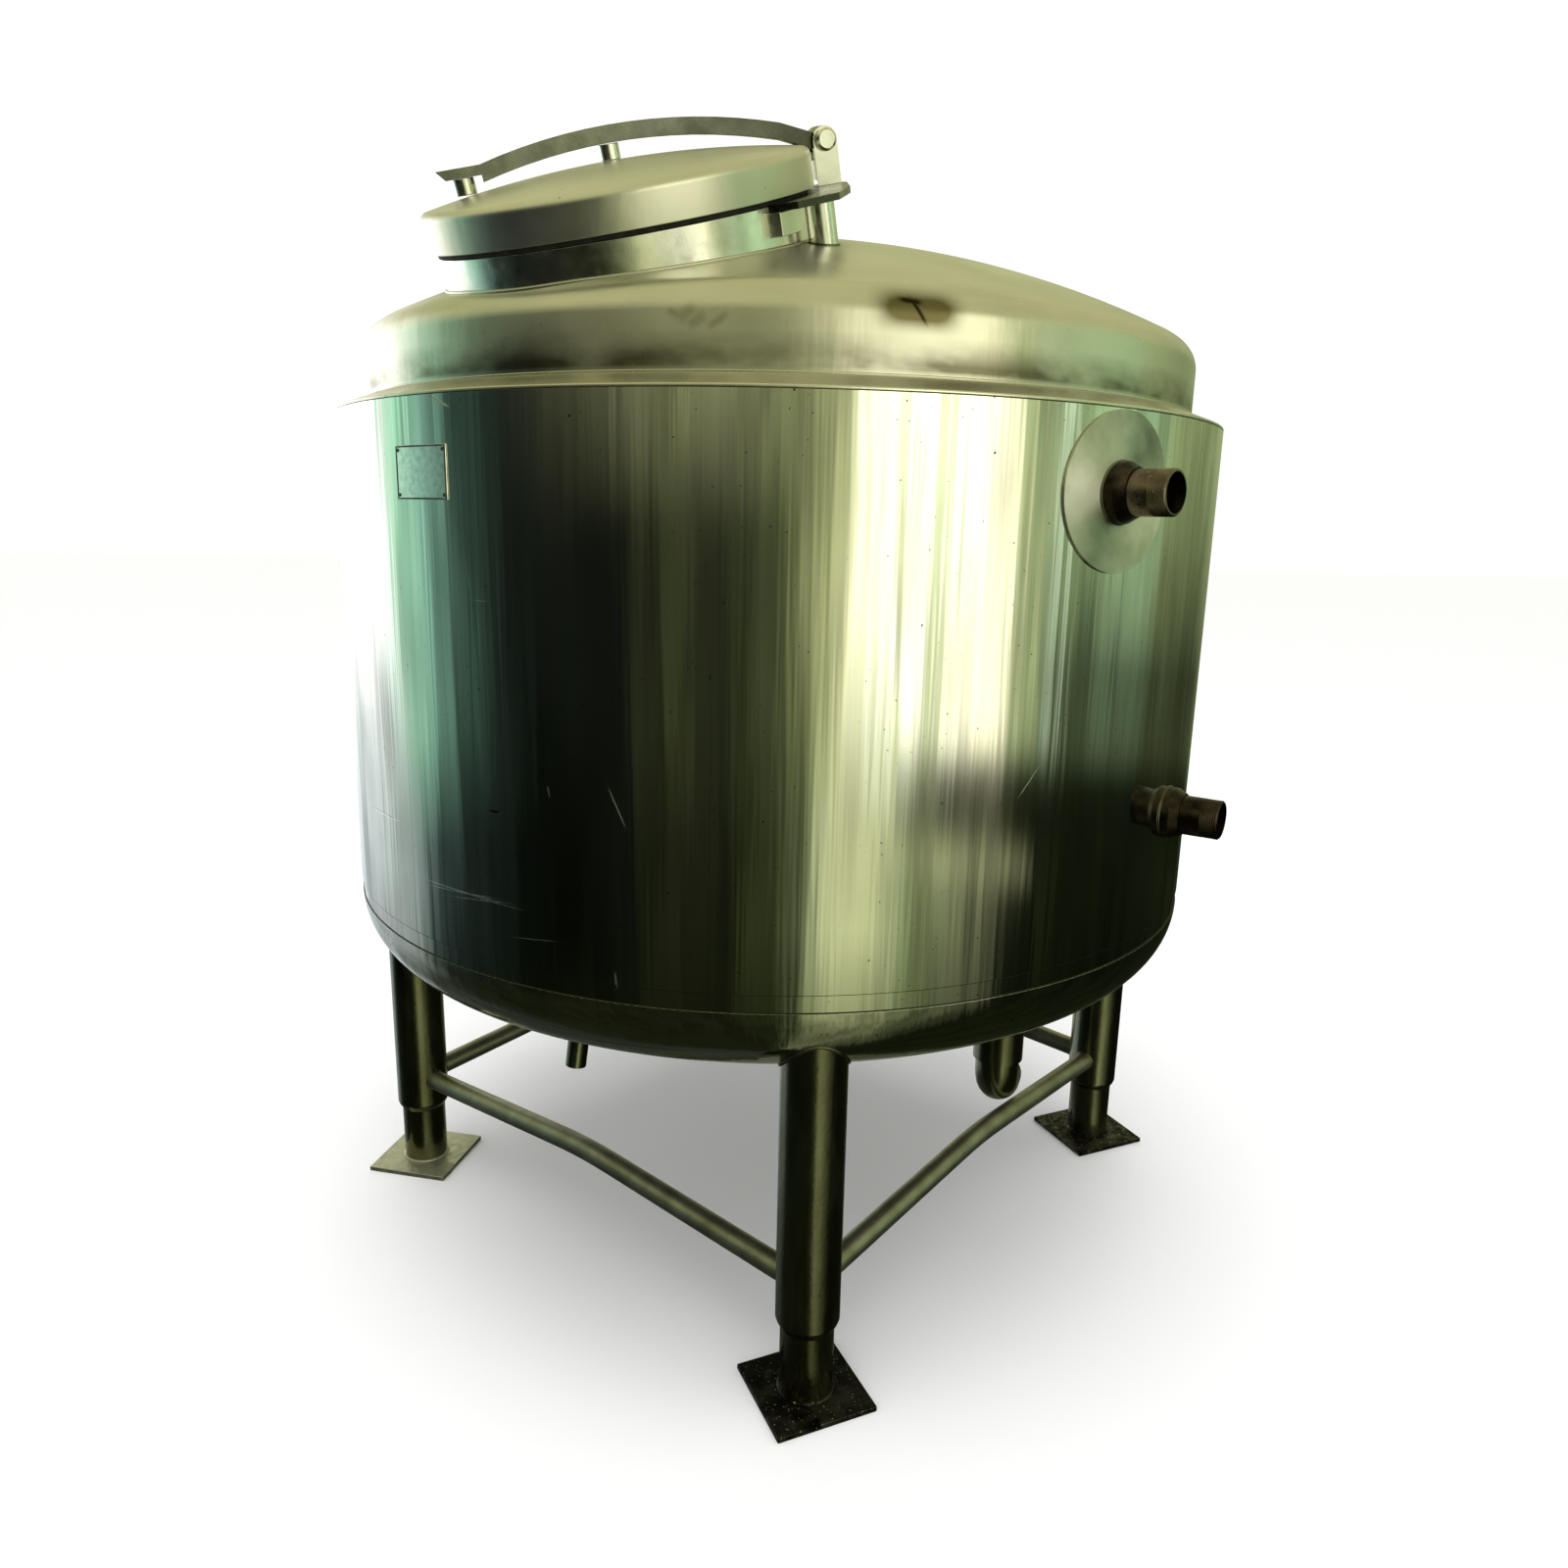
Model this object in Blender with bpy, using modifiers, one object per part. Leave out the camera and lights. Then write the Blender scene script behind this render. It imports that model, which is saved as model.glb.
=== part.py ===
"""A jacketed stainless steel process tank on four tubular legs.

Metres, +Z up. The origin is on the tank's axis at floor level, and the four legs stand on
the X and Y axes. Azimuths are measured at the axis from -Y, positive towards +X.
"""

import math

import bmesh
import bpy
from mathutils import Matrix, Vector

# Driving dimensions of the vessel and its jacket
SEGMENTS = 48
JACKET_RADIUS = 0.700
JACKET_WALL = 0.004
JACKET_TOP_Z = 1.317
JACKET_SEAM_Z = 0.614
BAND_HEIGHT = 0.024
BAND_RECESS = 0.0015
BOTTOM_KNUCKLE = 0.108
CROWN_RADIUS = 1.400
VESSEL_RADIUS = 0.653
VESSEL_WALL = 0.004
VESSEL_KNUCKLE = 0.100
VESSEL_BOTTOM_CROWN = 1.300
SHOULDER_RISE = 0.0183
SHOULDER_SHEET = 0.004
ROOF_WALL = 0.003
ROOF_JOINT_Z = 1.330
ROOF_FLANGE_Z = 1.404
ROOF_KNUCKLE = 0.042
DISH_STEPS = 5
KNUCKLE_STEPS = 4

# Manway, placed on the roof and tilted outwards with its slope
MANWAY_AZIMUTH = -34.9
MANWAY_REACH = 0.425
MANWAY_Z = 1.5602
MANWAY_TILT = 20.2
NECK_RADIUS = 0.2435
NECK_WALL = 0.004
NECK_DEPTH = 0.110
GASKET_INNER = 0.2345
GASKET_OUTER = 0.2435
GASKET_HEIGHT = 0.006
LID_RADIUS = 0.2535
LID_WALL = 0.003
LID_SKIRT = 0.035
LID_KNUCKLE = 0.012
LID_HEIGHT = 0.067
LID_LIP_INNER = 0.2305

# Clamp bar over the lid, its posts and its hinge, in the lid's frame turned by CLAMP_TURN
CLAMP_TURN = -48.0
BAR_DEPTH = 0.020
BAR_WIDTH = 0.026
BAR_TAB_X = 0.219
BAR_TAB_START = 0.164
BAR_TAB_DEPTH = 0.0116
BAR_TAB_CHAMFER = 0.010
BAR_END_Z = 0.0778
BAR_PEAK_Z = 0.0945
BAR_STEPS = 16
CLAMP_POST_X = 0.188
CLAMP_POST_RADIUS = 0.0135
BOSS_RADIUS = 0.013
PIN_X = -0.278
PIN_Z = 0.048
PIN_RADIUS = 0.008
PIN_HEAD_RADIUS = 0.0135
PIN_HEAD_DEPTH = 0.010
PIN_HEAD_CHAMFER = 0.003
PIN_TAIL = 0.004
EYE_RADIUS = 0.016
EAR_THICKNESS = 0.007
EAR_DEPTH = 0.032
EAR_GAP = 0.0015
SLOT_CLEARANCE = 0.006
PLATE_TOP_Z = -0.005
PLATE_THICKNESS = 0.008
PLATE_OUTLINE = ((128.0, 0.236), (131.0, 0.280), (142.0, 0.306), (158.0, 0.300), (176.0, 0.302),
                 (188.0, 0.300), (191.0, 0.236))
BRACKET_ANGLE = 133.2
BRACKET_REACH = 0.260
BRACKET_WIDTH = 0.044
BRACKET_HEIGHT = 0.027
STAND_ANGLE = 148.0
STAND_REACH = 0.268
STAND_RADIUS = 0.0185
STAND_DEPTH = 0.180

# Nozzles, nameplate and outlets
NOZZLE_RADIUS = 0.028
NOZZLE_BORE = 0.0243
NOZZLE_CHAMFER = 0.002
NOZZLE_REACH = {"upper": 0.074, "lower": 0.076}
NOZZLE_AZIMUTH = {"upper": 31.0, "lower": 49.0}
NOZZLE_TURN = {"upper": 8.0, "lower": 0.0}
NOZZLE_Z = {"upper": 1.219, "lower": 0.780}
COLLAR_RADIUS = 0.037
COLLAR_REACH = 0.024
PAD_RADIUS = 0.097
PAD_SHEET = 0.003
NAMEPLATE_AZIMUTH = -44.0
NAMEPLATE_Z = 1.227
NAMEPLATE_SIZE = (0.102, 0.065)
NAMEPLATE_SHEET = 0.0015
OUTLET_PLACE = (56.4, 0.445)
OUTLET_RADIUS = 0.0415
OUTLET_END_Z = 0.296
OUTLET_WALL = 0.004
OUTLET_LIP = 0.010
ELBOW_BORE = 0.031
ELBOW_RADIUS = 0.0365
ELBOW_BEND = 0.048
ELBOW_AXIS_Z = 0.236
ELBOW_AZIMUTH = 156.0
ELBOW_STEPS = 6
ELBOW_END = 0.016
ELBOW_BORE_DEPTH = 0.035
DRAIN_PLACE = (-53.8, 0.421)
DRAIN_RADIUS = 0.01685
DRAIN_WALL = 0.003
DRAIN_END_Z = 0.302
DRAIN_TILT = 9.0

# Legs, feet and the ties between them
LEG_CIRCLE = 0.643
LEG_RADIUS = 0.04445
LEG_WALL = 0.003
SLEEVE_END_Z = 0.122
FOOT_RADIUS = 0.0375
FOOT_INSERT = 0.100
CONE_HEIGHT = 0.014
PLATE_SIDE = 0.147
PLATE_SHEET = 0.008
PLATE_TURNS = {"front": 18.0, "right": 18.0, "back": -18.0, "left": -18.0}
LEG_AZIMUTHS = {"front": 0.0, "right": 90.0, "back": 180.0, "left": 270.0}
TIE_RADIUS = 0.01685
TIE_END_Z = 0.166
TIE_MIDDLE_Z = 0.195
TIE_BEND_LENGTH = 0.060

# Clearance between two pieces that touch, and the facets of small round pieces
GAP = 0.0003
TUBE_SIDES = 20
PIN_SIDES = 16

COLLECTION = "jacketed_process_tank"
CUTTERS = "cutters"


def clear_scene():
    for item in list(bpy.context.scene.objects):
        bpy.data.objects.remove(item, do_unlink=True)


def make_collection(name):
    group = bpy.data.collections.new(name)
    bpy.context.scene.collection.children.link(group)
    return group


def make_material(name, colour, metallic, roughness):
    material = bpy.data.materials.new(name)
    material.use_nodes = True
    shader = material.node_tree.nodes["Principled BSDF"]
    shader.inputs["Base Color"].default_value = (*colour, 1.0)
    shader.inputs["Metallic"].default_value = metallic
    shader.inputs["Roughness"].default_value = roughness
    return material


def add_object(name, mesh, material, matrix=None):
    item = bpy.data.objects.new(name, mesh)
    bpy.data.collections[COLLECTION].objects.link(item)
    mesh.materials.append(bpy.data.materials[material])
    if matrix is not None:
        item.matrix_world = matrix
    return item


def add_cutter(name, mesh, matrix=None):
    cutter = bpy.data.objects.new(name, mesh)
    bpy.data.collections[CUTTERS].objects.link(cutter)
    cutter.hide_render = True
    cutter.display_type = "WIRE"
    if matrix is not None:
        cutter.matrix_world = matrix
    return cutter


def cut(item, cutter, operation="DIFFERENCE"):
    modifier = item.modifiers.new(cutter.name, "BOOLEAN")
    modifier.operation = operation
    modifier.solver = "EXACT"
    modifier.object = cutter


def shade(mesh, angle=30.0):
    mesh.shade_smooth()
    mesh.set_sharp_from_angle(angle=math.radians(angle))


def profile_mesh(name, points, closed):
    """Edges of a profile in the XZ plane, for a Screw modifier about Z."""
    mesh = bpy.data.meshes.new(name)
    bm = bmesh.new()
    corners = [bm.verts.new((r, 0.0, z)) for r, z in points]
    for start, end in zip(corners, corners[1:]):
        bm.edges.new((start, end))
    if closed:
        bm.edges.new((corners[-1], corners[0]))
    bm.to_mesh(mesh)
    bm.free()
    return mesh


def turn(item, steps):
    """A profile at +X that runs down its outer side, turned about its own Z."""
    screw = item.modifiers.new("turn", "SCREW")
    screw.axis = "Z"
    screw.angle = math.tau
    screw.steps = steps
    screw.render_steps = steps
    screw.use_merge_vertices = True
    screw.merge_threshold = 0.00001
    screw.use_smooth_shade = True


def turned(name, points, material, closed=False, steps=SEGMENTS, matrix=None):
    item = add_object(name, profile_mesh(name, points, closed), material, matrix)
    turn(item, steps)
    return item


def turned_cutter(name, points, steps=SEGMENTS, matrix=None):
    cutter = add_cutter(name, profile_mesh(name, points, False), matrix)
    turn(cutter, steps)
    return cutter


def cylinder_mesh(name, radius, low, high, sides):
    mesh = bpy.data.meshes.new(name)
    bm = bmesh.new()
    middle = Matrix.Translation((0.0, 0.0, (low + high) / 2))
    bmesh.ops.create_cone(bm, cap_ends=True, cap_tris=False, segments=sides, radius1=radius,
                          radius2=radius, depth=high - low, matrix=middle)
    bm.to_mesh(mesh)
    bm.free()
    shade(mesh)
    return mesh


def box_mesh(name, size, centre):
    mesh = bpy.data.meshes.new(name)
    bm = bmesh.new()
    bmesh.ops.create_cube(bm, size=1.0, matrix=Matrix.Translation(centre) @ Matrix.Diagonal((*size, 1.0)))
    bm.to_mesh(mesh)
    bm.free()
    return mesh


def outline_object(name, points, half_thickness, material, matrix):
    """A flat outline in its own XY plane, filled and thickened both ways."""
    curve = bpy.data.curves.new(name, "CURVE")
    curve.dimensions = "2D"
    curve.fill_mode = "BOTH"
    curve.extrude = half_thickness
    spline = curve.splines.new("POLY")
    spline.points.add(len(points) - 1)
    for point, (x, y) in zip(spline.points, points):
        point.co = (x, y, 0.0, 1.0)
    spline.use_cyclic_u = True
    item = bpy.data.objects.new(name, curve)
    bpy.data.collections[COLLECTION].objects.link(item)
    item.matrix_world = matrix
    return curve_to_mesh(item, material)


def curve_to_mesh(item, material):
    """Replace a curve object by its welded mesh, at the same place."""
    bpy.context.view_layer.update()
    name, matrix, curve = item.name, item.matrix_world.copy(), item.data
    graph = bpy.context.evaluated_depsgraph_get()
    mesh = bpy.data.meshes.new_from_object(item.evaluated_get(graph))
    bm = bmesh.new()
    bm.from_mesh(mesh)
    bmesh.ops.remove_doubles(bm, verts=bm.verts, dist=0.00001)
    bm.to_mesh(mesh)
    bm.free()
    shade(mesh)
    bpy.data.objects.remove(item)
    bpy.data.curves.remove(curve)
    mesh.materials.clear()
    return add_object(name, mesh, material, matrix)


def tube_along(name, points, radius, material, resolution=2):
    """A round bar through the points, as a curve with filled caps."""
    curve = bpy.data.curves.new(name, "CURVE")
    curve.dimensions = "3D"
    curve.bevel_depth = radius
    curve.bevel_resolution = resolution
    curve.use_fill_caps = True
    spline = curve.splines.new("POLY")
    spline.points.add(len(points) - 1)
    for point, place in zip(spline.points, points):
        point.co = (*place, 1.0)
    item = bpy.data.objects.new(name, curve)
    bpy.data.collections[COLLECTION].objects.link(item)
    return curve_to_mesh(item, material)


def place_at(azimuth, reach, z=0.0):
    angle = math.radians(azimuth)
    return Vector((reach * math.sin(angle), -reach * math.cos(angle), z))


def arc(centre, radius, start, end, steps):
    """Points of an arc, with angles in radians from the +X side."""
    points = []
    for step in range(steps + 1):
        angle = start + (end - start) * step / steps
        points.append((centre[0] + radius * math.cos(angle), centre[1] + radius * math.sin(angle)))
    return points


def dished_end(radius, flange_z, knuckle, crown, side, inset=0.0):
    """Profile of a dished end from its axis to its flange: side is 1 up or -1 down.

    inset moves the whole surface inwards, as the inner face of the sheet.
    """
    knuckle_reach = radius - knuckle
    join = math.asin(knuckle_reach / (crown - knuckle))
    crown_z = (crown - knuckle) * math.cos(join)
    sphere = arc((0.0, -crown_z), crown - inset, math.pi / 2, math.pi / 2 - join, DISH_STEPS)
    corner = arc((knuckle_reach, 0.0), knuckle - inset, math.pi / 2 - join, 0.0, KNUCKLE_STEPS)
    points = sphere[:-1] + corner
    points[0] = (0.0, points[0][1])
    return [(r, flange_z + side * z) for r, z in points]


def leg_matrix(name):
    return Matrix.Translation(place_at(LEG_AZIMUTHS[name], LEG_CIRCLE))


def manway_frame():
    """Z along the neck, X down the roof's slope, at the centre of the lid's lower face."""
    down = place_at(MANWAY_AZIMUTH, 1.0)
    tilt = math.radians(MANWAY_TILT)
    axis = math.sin(tilt) * down + math.cos(tilt) * Vector((0.0, 0.0, 1.0))
    slope = math.cos(tilt) * down - math.sin(tilt) * Vector((0.0, 0.0, 1.0))
    across = axis.cross(slope)
    turn_matrix = Matrix((slope, across, axis)).transposed().to_4x4()
    return Matrix.Translation(place_at(MANWAY_AZIMUTH, MANWAY_REACH, MANWAY_Z)) @ turn_matrix


def clamp_frame():
    """The manway's frame turned about the neck, with X along the clamp bar."""
    return manway_frame() @ Matrix.Rotation(math.radians(CLAMP_TURN), 4, "Z")


def neck_place(angle, reach):
    """A point beside the neck, at an angle from the clamp frame's X and a distance from its Z."""
    turn_angle = math.radians(angle)
    return (reach * math.cos(turn_angle), reach * math.sin(turn_angle))


def radial_frame(azimuth, z, lean=0.0):
    """Z points out of the jacket at its outer face, X stays level; lean turns Z sideways."""
    out = place_at(azimuth + lean, 1.0)
    level = Vector((0.0, 0.0, 1.0)).cross(out)
    turn_matrix = Matrix((level, out.cross(level), out)).transposed().to_4x4()
    return Matrix.Translation(place_at(azimuth, JACKET_RADIUS, z)) @ turn_matrix


def nozzle_frame(name):
    return radial_frame(NOZZLE_AZIMUTH[name], NOZZLE_Z[name], NOZZLE_TURN[name])


def make_materials():
    make_material("brushed_stainless", (0.50, 0.51, 0.44), 1.0, 0.30)
    make_material("dished_stainless", (0.58, 0.58, 0.48), 1.0, 0.35)
    make_material("tube_stainless", (0.42, 0.42, 0.33), 1.0, 0.32)
    make_material("hinge_stainless", (0.60, 0.60, 0.52), 1.0, 0.28)
    make_material("vessel_stainless", (0.55, 0.55, 0.52), 1.0, 0.25)
    make_material("nozzle_stainless", (0.36, 0.31, 0.22), 1.0, 0.40)
    make_material("gasket_rubber", (0.05, 0.05, 0.04), 0.0, 0.80)
    make_material("plate_aluminium", (0.40, 0.45, 0.38), 1.0, 0.45)


def nozzle_cutter(name):
    """A closed cylinder round a nozzle's pipe, through the vessel and the jacket."""
    length = JACKET_RADIUS - VESSEL_RADIUS + 0.03
    mesh = cylinder_mesh(f"{name}_nozzle_cutter", NOZZLE_RADIUS + GAP, -length, 0.03, TUBE_SIDES)
    return add_cutter(f"{name}_nozzle_cutter", mesh, nozzle_frame(name))


def jacket_cutter(name, sheet):
    """A closed drum as wide as the jacket and a sheet on it, round a nozzle's height."""
    radius = JACKET_RADIUS + sheet + 2 * GAP
    high, low = NOZZLE_Z[name] + 0.06, NOZZLE_Z[name] - 0.06
    return turned_cutter(f"{name}_drum_cutter", [(0.0, high), (radius, high), (radius, low), (0.0, low)])


def make_cutters():
    """Closed bodies that fit round the dish, the roof, the neck, the nozzles and the legs."""
    dish = dished_end(JACKET_RADIUS + GAP, JACKET_SEAM_Z - BAND_HEIGHT, BOTTOM_KNUCKLE + GAP,
                      CROWN_RADIUS + GAP, -1)
    dish.reverse()
    top = JACKET_SEAM_Z + 0.05
    turned_cutter("dish_cutter", [(0.0, top), (JACKET_RADIUS + GAP, top)] + dish)
    roof = dished_end(VESSEL_RADIUS + GAP, ROOF_FLANGE_Z, ROOF_KNUCKLE + GAP, CROWN_RADIUS + GAP, 1)
    turned_cutter("roof_cutter", roof + [(VESSEL_RADIUS + GAP, ROOF_JOINT_Z), (0.0, ROOF_JOINT_Z)])
    neck = cylinder_mesh("neck_cutter", NECK_RADIUS + GAP, -0.20, 0.06, SEGMENTS)
    add_cutter("neck_cutter", neck, manway_frame())
    nozzle_cutter("upper")
    nozzle_cutter("lower")
    jacket_cutter("upper", PAD_SHEET + GAP)
    jacket_cutter("lower", 0.0)
    for name in LEG_AZIMUTHS:
        leg = cylinder_mesh(f"{name}_leg_cutter", LEG_RADIUS + GAP, 0.0, JACKET_SEAM_Z, TUBE_SIDES)
        add_cutter(f"{name}_leg_cutter", leg, leg_matrix(name))


def cutter(name):
    return bpy.data.objects[name]


def make_vessel():
    """The inner vessel: a rolled shell, a dished bottom and the dished roof."""
    inner = VESSEL_RADIUS - VESSEL_WALL
    low = JACKET_SEAM_Z - 0.010
    shell = turned("vessel_shell", [(VESSEL_RADIUS, ROOF_JOINT_Z - GAP), (VESSEL_RADIUS, low),
                                    (inner, low), (inner, ROOF_JOINT_Z - GAP)],
                   "vessel_stainless", closed=True)
    cut(shell, cutter("upper_nozzle_cutter"))
    cut(shell, cutter("lower_nozzle_cutter"))

    flange_z = low - GAP
    args = (VESSEL_RADIUS, flange_z, VESSEL_KNUCKLE, VESSEL_BOTTOM_CROWN, -1)
    inside = dished_end(*args, inset=VESSEL_WALL)
    outside = dished_end(*args)
    outside.reverse()
    turned("vessel_bottom", inside + outside, "vessel_stainless")

    args = (VESSEL_RADIUS, ROOF_FLANGE_Z, ROOF_KNUCKLE, CROWN_RADIUS, 1)
    inside = dished_end(*args, inset=ROOF_WALL)
    inside.reverse()
    rim = [(VESSEL_RADIUS, ROOF_JOINT_Z), (VESSEL_RADIUS - ROOF_WALL, ROOF_JOINT_Z)]
    roof = turned("roof", dished_end(*args) + rim + inside, "dished_stainless")
    cut(roof, cutter("neck_cutter"))


def make_jacket():
    """The outer jacket: a rolled shell, a sloped shoulder, a thin band and a dished bottom."""
    inner = JACKET_RADIUS - JACKET_WALL
    low = JACKET_SEAM_Z + GAP
    shell = turned("jacket_shell", [(JACKET_RADIUS, JACKET_TOP_Z), (JACKET_RADIUS, low),
                                    (inner, low), (inner, JACKET_TOP_Z)],
                   "brushed_stainless", closed=True)
    cut(shell, cutter("upper_nozzle_cutter"))
    cut(shell, cutter("lower_nozzle_cutter"))

    base = JACKET_TOP_Z + GAP
    edge = VESSEL_RADIUS + GAP
    turned("shoulder_ring", [(edge, base + SHOULDER_RISE + SHOULDER_SHEET),
                             (JACKET_RADIUS, base + SHOULDER_SHEET), (JACKET_RADIUS, base),
                             (edge, base + SHOULDER_RISE)],
           "dished_stainless", closed=True)

    high, low = JACKET_SEAM_Z, JACKET_SEAM_Z - BAND_HEIGHT + GAP
    outer = JACKET_RADIUS - BAND_RECESS
    turned("bottom_band", [(outer, high), (outer, low), (outer - JACKET_WALL, low),
                           (outer - JACKET_WALL, high)],
           "brushed_stainless", closed=True)

    args = (JACKET_RADIUS, JACKET_SEAM_Z - BAND_HEIGHT, BOTTOM_KNUCKLE, CROWN_RADIUS, -1)
    inside = dished_end(*args, inset=JACKET_WALL)
    outside = dished_end(*args)
    outside.reverse()
    turned("jacket_bottom", inside + outside, "brushed_stainless")


def make_manway():
    """The neck, its gasket and the domed lid, all on the neck's tilted axis."""
    place = manway_frame()
    top = -GASKET_HEIGHT - 2 * GAP
    inner = NECK_RADIUS - NECK_WALL
    turned("manway_neck", [(NECK_RADIUS, top), (NECK_RADIUS, -NECK_DEPTH), (inner, -NECK_DEPTH),
                           (inner, top)], "hinge_stainless", closed=True, matrix=place)
    low = -GASKET_HEIGHT - GAP
    turned("manway_gasket", [(GASKET_OUTER, -GAP), (GASKET_OUTER, low), (GASKET_INNER, low),
                             (GASKET_INNER, -GAP)], "gasket_rubber", closed=True, matrix=place)
    outside = lid_profile(0.0) + [(LID_RADIUS, 0.0), (LID_LIP_INNER, 0.0), (LID_LIP_INNER, LID_WALL)]
    inside = [(LID_RADIUS - LID_WALL, LID_WALL)] + list(reversed(lid_profile(LID_WALL)))
    turned("manway_lid", outside + inside, "dished_stainless", matrix=place)


def lid_crown():
    """Radius of the lid's crown, which ends at the knuckle and reaches the lid's height."""
    reach = LID_RADIUS - LID_KNUCKLE
    rise = LID_HEIGHT - LID_SKIRT
    return (reach ** 2 + rise ** 2 - LID_KNUCKLE ** 2) / (2 * (rise - LID_KNUCKLE))


def lid_profile(inset):
    return dished_end(LID_RADIUS, LID_SKIRT, LID_KNUCKLE, lid_crown(), 1, inset)


def lid_height(reach):
    """Height of the lid's outer face at a distance from its axis."""
    crown = lid_crown()
    return LID_HEIGHT - crown + math.sqrt(crown ** 2 - reach ** 2)


def bar_middle(x):
    """Height of the clamp bar's centreline, a circular arc between its two ends."""
    start, end = PIN_X, BAR_TAB_START
    half = (end - start) / 2
    rise = BAR_PEAK_Z - (PIN_Z + BAR_END_Z) / 2
    radius = (half ** 2 + rise ** 2) / (2 * rise)
    away = x - (start + end) / 2
    chord = PIN_Z + (BAR_END_Z - PIN_Z) * (x - start) / (end - start)
    return chord + math.sqrt(radius ** 2 - away ** 2) - (radius - rise)


def make_clamp():
    """The arched bar that holds the lid, with its end tab, hinge eye, post and boss."""
    place = clamp_frame()
    span = [PIN_X + (BAR_TAB_START - PIN_X) * step / BAR_STEPS for step in range(BAR_STEPS + 1)]
    tab_top = BAR_END_Z + BAR_DEPTH / 2
    tab_low = tab_top - BAR_TAB_DEPTH
    outline = [(x, bar_middle(x) + BAR_DEPTH / 2) for x in span[2:]]
    outline += [(BAR_TAB_X, tab_top), (BAR_TAB_X - BAR_TAB_CHAMFER, tab_low), (BAR_TAB_START, tab_low)]
    outline += [(x, bar_middle(x) - BAR_DEPTH / 2) for x in reversed(span[2:])]
    half_depth = BAR_DEPTH / 2
    leave = math.asin(half_depth / EYE_RADIUS)
    outline += arc((PIN_X, PIN_Z), EYE_RADIUS, -leave, leave - math.tau, PIN_SIDES)
    upright = place @ Matrix.Rotation(math.radians(90.0), 4, "X")
    bar = outline_object("clamp_bar", outline, BAR_WIDTH / 2, "hinge_stainless", upright)
    hole = cylinder_mesh("eye_cutter", PIN_RADIUS + GAP, -0.03, 0.03, PIN_SIDES)
    cut(bar, add_cutter("eye_cutter", hole, upright @ Matrix.Translation((PIN_X, PIN_Z, 0.0))))

    base = lid_height(0.0) + GAP
    top = min(bar_middle(BOSS_RADIUS), bar_middle(-BOSS_RADIUS)) - half_depth - 2 * GAP
    add_object("lid_boss", cylinder_mesh("lid_boss", BOSS_RADIUS, base, top, TUBE_SIDES),
               "hinge_stainless", place)
    base = lid_height(CLAMP_POST_X - CLAMP_POST_RADIUS) + GAP
    post = cylinder_mesh("clamp_post", CLAMP_POST_RADIUS, base, tab_low - GAP, TUBE_SIDES)
    add_object("clamp_post", post, "hinge_stainless", place @ Matrix.Translation((CLAMP_POST_X, 0.0, 0.0)))


def make_hinge():
    """The fixed side of the hinge: a forked post and its pin on a plate beside the neck."""
    place = clamp_frame()
    half_width = BAR_WIDTH / 2 + EAR_GAP + EAR_THICKNESS
    base = PLATE_TOP_Z + GAP
    post = add_object("hinge_post", box_mesh("hinge_post", (EAR_DEPTH, 2 * half_width, PIN_Z - base),
                                             (PIN_X, 0.0, (PIN_Z + base) / 2)), "hinge_stainless", place)
    across = Matrix.Rotation(math.radians(90.0), 4, "X")
    crown = cylinder_mesh("post_crown", EAR_DEPTH / 2, -half_width, half_width, TUBE_SIDES)
    crown_place = place @ Matrix.Translation((PIN_X, 0.0, PIN_Z)) @ across
    cut(post, add_cutter("post_crown", crown, crown_place), "UNION")
    slot_low = PIN_Z - EYE_RADIUS - SLOT_CLEARANCE
    slot_size = (2 * EAR_DEPTH, BAR_WIDTH + 2 * EAR_GAP, 2 * EAR_DEPTH)
    slot = box_mesh("slot_cutter", slot_size, (PIN_X, 0.0, slot_low + EAR_DEPTH))
    cut(post, add_cutter("slot_cutter", slot, place))
    bore = cylinder_mesh("pin_cutter", PIN_RADIUS + GAP, -2 * half_width, 2 * half_width, PIN_SIDES)
    cut(post, add_cutter("pin_cutter", bore, crown_place))

    head_base = half_width + GAP
    head = head_base + PIN_HEAD_DEPTH
    tail = -half_width - PIN_TAIL
    turned("hinge_pin", [(0.0, head), (PIN_HEAD_RADIUS - PIN_HEAD_CHAMFER, head),
                         (PIN_HEAD_RADIUS, head - PIN_HEAD_CHAMFER), (PIN_HEAD_RADIUS, head_base),
                         (PIN_RADIUS, head_base), (PIN_RADIUS, tail), (0.0, tail)],
           "hinge_stainless", steps=PIN_SIDES, matrix=crown_place @ Matrix.Rotation(math.pi, 4, "X"))

    outline = [neck_place(angle, reach) for angle, reach in PLATE_OUTLINE]
    middle = place @ Matrix.Translation((0.0, 0.0, PLATE_TOP_Z - PLATE_THICKNESS / 2))
    plate = outline_object("hinge_plate", outline, PLATE_THICKNESS / 2, "hinge_stainless", middle)
    cut(plate, cutter("neck_cutter"))

    top = PLATE_TOP_Z - PLATE_THICKNESS - GAP
    outwards = place @ Matrix.Rotation(math.radians(BRACKET_ANGLE), 4, "Z")
    depth = BRACKET_REACH - NECK_RADIUS / 2
    bracket = box_mesh("hinge_bracket", (depth, BRACKET_WIDTH, BRACKET_HEIGHT),
                       (BRACKET_REACH - depth / 2, 0.0, top - BRACKET_HEIGHT / 2))
    bracket_item = add_object("hinge_bracket", bracket, "hinge_stainless", outwards)
    cut(bracket_item, cutter("neck_cutter"))

    stand = cylinder_mesh("hinge_stand", STAND_RADIUS, -STAND_DEPTH, top, TUBE_SIDES)
    stand_place = place @ Matrix.Translation((*neck_place(STAND_ANGLE, STAND_REACH), 0.0))
    stand_item = add_object("hinge_stand", stand, "hinge_stainless", stand_place)
    cut(stand_item, cutter("roof_cutter"))


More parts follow.
